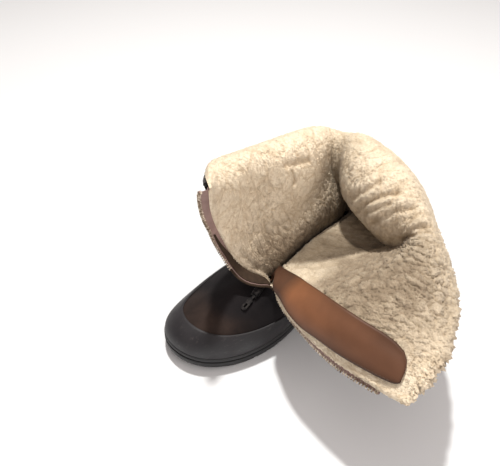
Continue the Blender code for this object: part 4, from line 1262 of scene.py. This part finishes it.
def corded_line(line, radius, sides=6):
    """Points and faces of a round cord through a line of points."""
    along = unit(np.gradient(line, axis=0))
    across = unit(np.cross(along, (0.31, 0.17, 0.93)))
    over = np.cross(along, across)
    rings = [spot + radius * (math.cos(a) * x + math.sin(a) * y) for spot, x, y in zip(line, across, over)
             for a in np.arange(sides) * math.tau / sides]
    return rings, lofted(len(line), sides)


def joined(*parts):
    """Points and faces of several small meshes as one."""
    points, faces = [], []
    for more, more_faces in parts:
        faces += [tuple(k + len(points) for k in face) for face in more_faces]
        points += [tuple(p) for p in more]
    return points, faces


woven_tape, tree, shader = nodes_of("woven_tape")
tone = blend(tree, noise(tree, 60.0, 3.0), (0.20, 0.125, 0.112), (0.46, 0.315, 0.285))
coloured(tree, shader, tone, Roughness=0.9)
weave = add(tree, "ShaderNodeTexWave", [("Vector", place_of(tree))], Scale=900.0, Distortion=1.5)
roughened(tree, shader, weave.outputs["Fac"], 0.5, 0.0004)

for side in ("right", "left"):
    shares = np.linspace(0.005, ZIP_TOP[side] + 0.008, 150)
    web = edge_strip(side, shares, 0.0004, TAPE_UNDER, (0.0014, 0.0024), (0, TAPE_THICK))
    cord = corded_line(zip_edge(side, shares, 0.0, TAPE_DEPTH)[0], CORD_RADIUS)
    tape = mesh_piece("zip_tape_" + side + "_woven", *joined(web, cord), woven_tape, 50)
    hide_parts("zip_tape_" + side)
    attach(tape, "boot")

facing_leather, tree, shader = nodes_of("facing_leather")
tone = blend(tree, noise(tree, 260.0, 4.0), (0.022, 0.014, 0.009), (0.075, 0.047, 0.030))
coloured(tree, shader, tone, Roughness=0.85, Specular_IOR_Level=0.2)
shares = np.linspace(0.0, FACING_TOP, 80)
tapering = 0.0095 * ease(0.60, 0.05, shares) + 0.0012
strip = edge_strip("right", shares, FACING_IN, FACING_IN + tapering, (0.0022, 0.0034), (0.0001, 0.0011))
piping = corded_line(zip_edge("right", np.linspace(0.004, 0.25, 40), -TEETH_OUT, 0.0018)[0], COVER_RADIUS, 8)
facing = mesh_piece("zip_facing_leather", *joined(strip, piping), facing_leather, 50)
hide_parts("zip_facing")
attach(facing, "boot")


# ==== Zip teeth ====
# Antique brass teeth, each stamped with two legs that grip the tape's cord and a nib that stands out past it.
# Small brackets clamped at the top of each half keep the slider from running off.
TOOTH_PITCH = 0.0029        # from one tooth to the next
TOOTH_SIZE = (0.0036, 0.0017, 0.0024)       # out past the tape, along it, through it
TEETH_FROM = {"right": 0.24, "left": 0.01}  # below this the facing's piped edge covers the teeth


def repeats_tree(name):
    """A tree that puts a small shape on each point, turned to the point's own out and up directions."""
    tree, given = new_tree(name, Shape="Object", Size="Float", Size_Spread="Float", Tilt="Float", Seed="Int",
                           Finish="Material")
    first = add(tree, "FunctionNodeAlignRotationToVector",
                [("Vector", carried(tree, "out", "FLOAT_VECTOR"))], axis="X")
    second = add(tree, "FunctionNodeAlignRotationToVector", [("Rotation", first.outputs["Rotation"]),
                 ("Vector", carried(tree, "up", "FLOAT_VECTOR"))], axis="Z", pivot_axis="X")
    low = add(tree, "ShaderNodeMath", [(0, given["Tilt"])], operation="MULTIPLY")
    low.inputs[1].default_value = -1.0
    tilt = add(tree, "FunctionNodeRandomValue", [("Min", low.outputs[0]), ("Max", given["Tilt"]),
               ("Seed", given["Seed"])], data_type="FLOAT_VECTOR")
    turned = add(tree, "FunctionNodeRotateRotation", [("Rotation", second.outputs["Rotation"]),
                 ("Rotate By", tilt.outputs["Value"])], rotation_space="LOCAL")
    least, most = (add(tree, "ShaderNodeMath", [(0, given["Size"]), (1, given["Size Spread"])],
                       operation=way).outputs[0] for way in ("SUBTRACT", "ADD"))
    return put_on(tree, given, given["Geometry"], turned.outputs["Rotation"],
                  random_size(tree, least, most, given["Seed"]))


def repeated(name, tree, places, **values):
    """A plain mesh of a shape at each place. `places` holds points, and out and up directions."""
    points, out, up = places
    mesh = bpy.data.meshes.new(name)
    mesh.from_pydata([tuple(p) for p in points], [], [])
    give(mesh, "out", out)
    give(mesh, "up", up)
    piece = grown_on(name, mesh, tree, **values)
    for label in ("out", "up"):
        if label in piece.data.attributes:
            piece.data.attributes.remove(piece.data.attributes[label])
    return piece


def small_shape(name, rings):
    """A small closed mesh lofted through rings of points, for the repeats tree."""
    mesh = bpy.data.meshes.new(name)
    mesh.from_pydata([tuple(p) for ring in rings for p in ring], [], lofted(len(rings), len(rings[0])))
    return bpy.data.objects.new(name, mesh)


def oval_ring(x, y, z, y_half, z_half, corners=8):
    """A ring across X, squarish, with its middle at the given point."""
    ring = []
    for k in range(corners):
        a = (k + 0.5) * math.tau / corners
        ring.append((x, y + y_half * math.copysign(abs(math.cos(a)) ** 0.6, math.cos(a)),
                     z + z_half * math.copysign(abs(math.sin(a)) ** 0.6, math.sin(a))))
    return ring


TOOTH_FORM = [  # step from the legs to the nib, and its shares of the tooth's half length, width and height
    ("legs' end", -1.0, 0.55, 0.75),
    ("legs", -0.8, 0.95, 1.00),
    ("waist", 0.1, 1.00, 1.00),
    ("neck", 0.45, 0.80, 0.62),
    ("nib", 0.9, 1.10, 0.70),
    ("nib's end", 1.0, 0.70, 0.45),
]
long_way, along, through = (size / 2 for size in TOOTH_SIZE)
tooth = small_shape("tooth_shape", [oval_ring(at * long_way, 0, 0, wide * along, high * through)
                                    for _, at, wide, high in TOOTH_FORM])
bracket = small_shape("stop_shape", [oval_ring(x, 0, 0, wide, high) for x, wide, high in (
    (-0.0021, 0.0011, 0.0013), (-0.0017, 0.0016, 0.0018), (0.0010, 0.0016, 0.0018),
    (0.0015, 0.0012, 0.0013))])

brass, tree, shader = nodes_of("antique_brass")
tone = ramp(tree, noise(tree, 420.0, 3.0), (0.40, (0.20, 0.145, 0.095)), (0.60, (0.72, 0.63, 0.51)))
coloured(tree, shader, tone, Metallic=0.9, Roughness=0.35)
repeats = repeats_tree("repeats")


def spread_along(line, pitch, *grids):
    """Rows of each grid read a pitch apart along a line of points, the first half a pitch from its start."""
    way = np.concatenate([[0], np.cumsum(np.linalg.norm(np.diff(line, axis=0), axis=1))])
    stops = np.arange(0.5 * pitch, way[-1], pitch)
    return [np.stack([np.interp(stops, way, grid[:, k]) for k in range(3)], axis=1) for grid in grids]


for side in ("right", "left"):
    shares = np.linspace(TEETH_FROM[side], ZIP_TOP[side] - 0.012, 400)
    line, normals, out = zip_edge(side, shares, -TEETH_OUT, TAPE_DEPTH)
    teeth = repeated("zip_teeth_" + side, repeats, spread_along(line, TOOTH_PITCH, line, out, normals),
                     Shape=tooth, Finish=brass, Size=1.0, Size_Spread=0.03, Tilt=0.04, Seed=5)
    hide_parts("zip_chain_" + side)
    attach(teeth, "boot")
    top = np.array([ZIP_TOP[side] - 0.006, ZIP_TOP[side] + 0.004])
    spots, normals, out = zip_edge(side, top, 0.0, TAPE_DEPTH)
    stop = repeated("zip_stop_" + side + "_bracket", repeats, (spots[:1], out[:1], normals[:1]),
                    Shape=bracket, Finish=brass, Size=1.0, Size_Spread=0.0, Tilt=0.0, Seed=1)
    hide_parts("zip_stop_" + side)
    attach(stop, "boot")


# ==== Guard flap ====
# A long tongue of smooth waxed tan leather, 2 mm thick, sewn down along the left half of the zip and lying
# free on the pile towards the calf. Its edges are burnished round and its top end is rounded off.
FLAP_LIFT = 0.0006          # its underside above the pile's even face
FLAP_THICK = 0.0019
FLAP_EDGE = 0.0016          # how far in its edges are rounded
FLAP_COLUMNS = 33           # points across it
FLAP_SEAM = 30              # which of them the seam runs along
FLAP_BURNISH = 0.0022       # how far in its edges are dark
FLAP_LEVELS = 150           # points up it
FLAP_SLIVER = 0.00004       # what is left of it at its very edge
STITCH_PITCH = 0.0033
STITCH_HALF = 0.0012        # half the length of a stitch
THREAD_RADIUS = 0.00030
FLAP_WAVES = [  # soft wave, share along the flap's height and width, reach of each, how far it lifts
    ("bulge", 0.17, 0.45, 0.16, 0.5, 0.0012),
    ("dip", 0.45, 0.85, 0.16, 0.4, -0.0009),
    ("middle", 0.62, 0.35, 0.20, 0.5, 0.0007),
    ("tip", 0.96, 0.5, 0.10, 0.8, 0.0008),
]


def guard_flap():
    """The flap's mesh, with its burnish and how far along and across it each point lies."""
    way = np.linspace(0, 1, FLAP_LEVELS) ** 0.92
    low, high = FLAP_OUTLINE[0][0], FLAP_OUTLINE[-1][0]
    shares = low + (high - low) * way
    sewn, free = (between(FLAP_OUTLINE, shares, k) for k in (1, 2))
    for edge in (sewn, free):
        edge[8:-12] = np.convolve(edge, np.ones(9) / 9, mode="same")[8:-12]
    across = np.linspace(0, 1, FLAP_COLUMNS)
    columns = free[:, None] + across * (sewn - free)[:, None]
    surface, normals, round_way = skin_along(columns, ANKLE_AT + shares * SHAFT_HIGH)
    shift = pushed(columns, shares[:, None])
    depth = fleece_face_depth(columns, shares[:, None]) + FLAP_LIFT
    for _, at, over, reach_along, reach_across, lift in FLAP_WAVES:
        depth = depth + lift * np.exp(-((way[:, None] - at) / reach_along) ** 2
                                      - ((across - over) / reach_across) ** 2)
    lying = surface - depth[..., None] * normals
    depth = depth + 0.0005 * drift(lying, 0.022, 41)[..., 0] + 0.0010 * np.exp(-(across / 0.12) ** 2)
    from_edge = np.minimum(round_way - round_way[:, :1], round_way[:, -1:] - round_way)
    middle = surface[:, FLAP_COLUMNS // 2]
    along = np.concatenate([[0], np.cumsum(np.linalg.norm(np.diff(middle, axis=0), axis=1))])
    from_edge = np.minimum(from_edge, (along[-1] - along)[:, None])
    rounding = np.sqrt(1 - (1 - np.clip(from_edge / FLAP_EDGE, 0, 1)) ** 2)
    under = surface + shift - (depth + 0.5 * FLAP_THICK * (1 - rounding))[..., None] * normals
    top = surface + shift - (depth + 0.5 * FLAP_THICK * (1 + rounding) + FLAP_SLIVER)[..., None] * normals
    points, faces, used = two_faced(under, top, np.ones((FLAP_LEVELS - 1, FLAP_COLUMNS - 1), bool))
    piece = mesh_piece("zip_guard_leather", points, faces, tan_leather, 180)
    burnish = np.exp(-from_edge / FLAP_BURNISH)
    for label, values in (("burnish", burnish), ("along", way[:, None] + 0 * across),
                          ("across", across + 0 * columns)):
        give(piece.data, label, np.tile(values.ravel(), 2)[used])
    return piece, top[:-6, FLAP_SEAM], -normals[:-6, FLAP_SEAM]


def stitch_places(line, up, pitch):
    """Places a stitch's pitch apart along a seam, with the way along it and the way up from the leather."""
    return spread_along(line, pitch, line, unit(np.gradient(line, axis=0)), up)


tan_leather, tree, shader = nodes_of("tan_leather")
# Painted shadow and painted light along the flap: dark at its throat end where the right half's shadow falls,
# brightest a little above, and darker again towards its top end.
painted_light_along = ramp(tree, written(tree, "along"), (0.42, (0.250, 0.100, 0.043)), (0.85, (0.138, 0.060, 0.031)),
                   (0.32, (0.105, 0.047, 0.026)))
worn_tone = rescaled(tree, noise(tree, 38.0, 3.0), 0.86, 1.14, 0.3, 0.7)
edge_tone = rescaled(tree, written(tree, "burnish"), 1.0, 0.45)
# Painted shade: the flap darkens towards its sewn edge beside the zip.
sewn_edge_shade = rescaled(tree, written(tree, "across"), 1.0, 0.66, 0.72, 1.0)
shade = times(tree, times(tree, worn_tone, edge_tone), sewn_edge_shade)
tanned = add(tree, "ShaderNodeVectorMath", [(0, painted_light_along), ("Scale", shade)], operation="SCALE")
coloured(tree, shader, tanned.outputs[0], Roughness=0.52, Specular_IOR_Level=0.35)
pores = add(tree, "ShaderNodeTexVoronoi", [("Vector", place_of(tree))], Scale=1500.0).outputs["Distance"]
roughened(tree, shader, times(tree, pores, noise(tree, 220.0, 4.0)), 0.25, 0.0004)

flap, seam, seam_up = guard_flap()
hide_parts("zip_guard")
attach(flap, "boot")

stitch = small_shape("stitch_shape", [oval_ring(x, 0, z, wide, wide, 6) for x, z, wide in (
    (-STITCH_HALF, -0.0002, 0.5 * THREAD_RADIUS), (-0.7 * STITCH_HALF, 0.0001, THREAD_RADIUS),
    (0.0, 0.0002, THREAD_RADIUS), (0.7 * STITCH_HALF, 0.0001, THREAD_RADIUS),
    (STITCH_HALF, -0.0002, 0.5 * THREAD_RADIUS))])
thread, tree, shader = nodes_of("waxed_thread")
tone = blend(tree, noise(tree, 1800.0, 2.0), (0.045, 0.024, 0.014), (0.13, 0.068, 0.040))
coloured(tree, shader, tone, Roughness=0.7)
flap_stitches = repeated("guard_stitches", repeats, stitch_places(seam, seam_up, STITCH_PITCH),
                         Shape=stitch, Finish=thread, Size=1.0, Size_Spread=0.05, Tilt=0.06, Seed=8)
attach(flap_stitches, "boot")
hem_seam = near_hem[1] + (GAP + BINDING_THICK) * hem_normals
hem_places = stitch_places(hem_seam[4:-4], hem_normals[4:-4], STITCH_PITCH)
hem_stitches = repeated("hem_stitches", repeats, hem_places, Shape=stitch, Finish=thread,
                        Size=1.0, Size_Spread=0.05, Tilt=0.06, Seed=9)
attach(hem_stitches, "boot")


# ==== Slider ====
# Cast slider of darkened metal: two plates with turned-in flanges joined by a post, and two ears at its foot
# that carry the pull tab's barrel. The zip is open, so it stands at the foot of the opening.
SLIDER_AT = (0.035365, -0.066724, 0.068998)
SLIDER_LEAN = math.radians(31.79)  # up the slope of the vamp
SLIDER_SIZE = (0.0075, 0.0120, 0.0046)  # across, along, through
SLIDER_LIFT = 0.0005        # its underside above its place
PLATE_THICK = 0.0012
EAR_THICK = 0.0012
EAR_HIGH = 0.0030
EAR_ENDS = (-0.0030, 0.0012)  # along the slider, from its place
EARS_WIDE = 0.0070          # over both ears
TAB_AT = (0.035365, -0.069644, 0.070482)    # the middle of the barrel that the tab turns on
TAB_LEAN = math.radians(23.70)


def leaning(points, at, lean):
    """Points given in a part's own frame, leaned back about X and put in place."""
    points = np.asarray(points, float)
    y, z = points[:, 1], points[:, 2]
    return np.stack([points[:, 0] + at[0], y * math.cos(lean) - z * math.sin(lean) + at[1],
                     y * math.sin(lean) + z * math.cos(lean) + at[2]], axis=1)


def plate(outline, low, high, bevel):
    """Points and faces of a plate with softened edges. The outline runs anticlockwise seen from above."""
    outline = np.asarray(outline, float)
    along = unit(np.roll(outline, -1, axis=0) - np.roll(outline, 1, axis=0))
    inward = np.stack([-along[:, 1], along[:, 0]], axis=1)
    levels = ((bevel, low), (0.0, low + bevel), (0.0, high - bevel), (bevel, high))
    points = [(x, y, z) for inset, z in levels for x, y in outline + inset * inward]
    return points, lofted(4, len(outline))


def rounded_box_outline(x_half, y_low, y_high, corner, steps=4):
    """Outline of an oblong with rounded corners."""
    ring = []
    for x, y, start in ((x_half, y_high, 0), (-x_half, y_high, 90), (-x_half, y_low, 180),
                        (x_half, y_low, 270)):
        for k in range(steps + 1):
            a = math.radians(start + 90 * k / steps)
            ring.append((x - math.copysign(corner, x) + corner * math.cos(a),
                         y - (corner if y == y_high else -corner) + corner * math.sin(a)))
    return ring


wide, long, high = SLIDER_SIZE
half = wide / 2
spade = [(0.74, 0.0), (1.0, 0.10), (1.0, 0.55), (0.98, 0.80), (0.80, 0.95), (0.45, 1.0), (0.12, 0.985)]
spade = [(x * half, y * long) for x, y in spade + [(-x, y) for x, y in reversed(spade)]]
low, top = SLIDER_LIFT, SLIDER_LIFT + high
parts = [plate(spade, low, low + PLATE_THICK, 0.0003), plate(spade, top - PLATE_THICK, top, 0.0004),
         plate(rounded_box_outline(0.0011, 0.62 * long, 0.97 * long, 0.0006), low + 0.0008, top - 0.0008,
               0.0001)]
for side in (-1, 1):
    flange = [(x + side * (half - 0.0005), y)
              for x, y in rounded_box_outline(0.0005, 0.08 * long, 0.84 * long, 0.0003)]
    parts += [plate(flange, z + 0.0006, z + 0.0018, 0.0002) for z in (low, top - 0.0024)]
    middle = side * (EARS_WIDE - EAR_THICK) / 2
    ear = [(x + middle, y) for x, y in rounded_box_outline(EAR_THICK / 2, *EAR_ENDS, 0.0004)]
    parts.append(plate(ear, (low + top - EAR_HIGH) / 2, (low + top + EAR_HIGH) / 2, 0.0004))
saddle = rounded_box_outline(0.0012, 0.25 * long, 0.72 * long, 0.0006)
parts.append(plate(saddle, top - 0.0006, top - 0.00002, 0.0002))
points, faces = joined(*parts)

gunmetal, tree, shader = nodes_of("darkened_metal")
light_and_wear = noise(tree, 330.0, 4.0)
tone = ramp(tree, light_and_wear, (0.42, (0.013, 0.012, 0.013)), (0.66, (0.052, 0.047, 0.045)))
coloured(tree, shader, tone, Metallic=0.85)
tree.links.new(rescaled(tree, light_and_wear, 0.6, 0.32), shader.inputs["Roughness"])
slider = mesh_piece("zip_slider_cast", leaning(points, SLIDER_AT, SLIDER_LEAN), faces, gunmetal, 35)
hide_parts("zip_slider")
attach(slider, "boot")


# ==== Pull tab ====
# Stamped tab of the same metal: a barrel that turns between the slider's ears, a neck and a tapered blade
# with a punched slot and bevelled edges. It swings up from where it lies on the vamp.
TAB_SIZE = (0.0070, 0.0150, 0.0012)
TAB_NECK = 0.0036
BARREL_RADIUS = 0.0010
BARREL_HALF = 0.0020
tab_half, tab_long, tab_thick = TAB_SIZE[0] / 2, TAB_SIZE[1], TAB_SIZE[2]
foot_y, end_y = -TAB_NECK, -TAB_NECK - tab_long


def ring_plate(outer, inner, low, high, bevel):
    """Points and faces of a plate with a hole. Both outlines run anticlockwise, with as many points."""
    outer, inner = np.asarray(outer, float), np.asarray(inner, float)
    small = outer + bevel * unit(outer.mean(axis=0) - outer)
    wider = inner + bevel * unit(inner - inner.mean(axis=0))
    rings = [(small, high), (outer, high - bevel), (outer, low + bevel), (small, low),
             (wider, low), (inner, low + bevel), (inner, high - bevel), (wider, high)]
    points = [(x, y, z) for ring, z in rings for x, y in ring]
    around = [face[::-1] for face in lofted(9, len(outer))[:-2]]
    return points, [tuple(k % len(points) for k in face) for face in around]


outer = [(x * (0.80 + 0.20 * min(1, (foot_y - y) / (0.5 * tab_long))), y)
         for x, y in rounded_box_outline(tab_half, end_y, foot_y, 0.0024, 6)]
inner = rounded_box_outline(0.0011, end_y + 0.0030, end_y + 0.0078, 0.0010, 6)
blade = ring_plate(outer, inner, -tab_thick / 2, tab_thick / 2, 0.0003)
neck = plate(rounded_box_outline(0.0014, foot_y - 0.0016, 0.0, 0.0004), -0.0005, 0.0005, 0.0002)
turns = np.arange(14) * math.tau / 14
barrel = [(x, BARREL_RADIUS * share * math.cos(a), BARREL_RADIUS * share * math.sin(a))
          for x, share in ((-BARREL_HALF, 0.8), (-BARREL_HALF + 0.0002, 0.97),
                           (BARREL_HALF - 0.0002, 0.97), (BARREL_HALF, 0.8)) for a in turns]
points, faces = joined(blade, neck, (barrel, lofted(4, len(turns))))
tab = mesh_piece("pull_tab_stamped", leaning(points, TAB_AT, TAB_LEAN), faces, gunmetal, 35)
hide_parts("pull_tab")
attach(tab, "pull_tab")
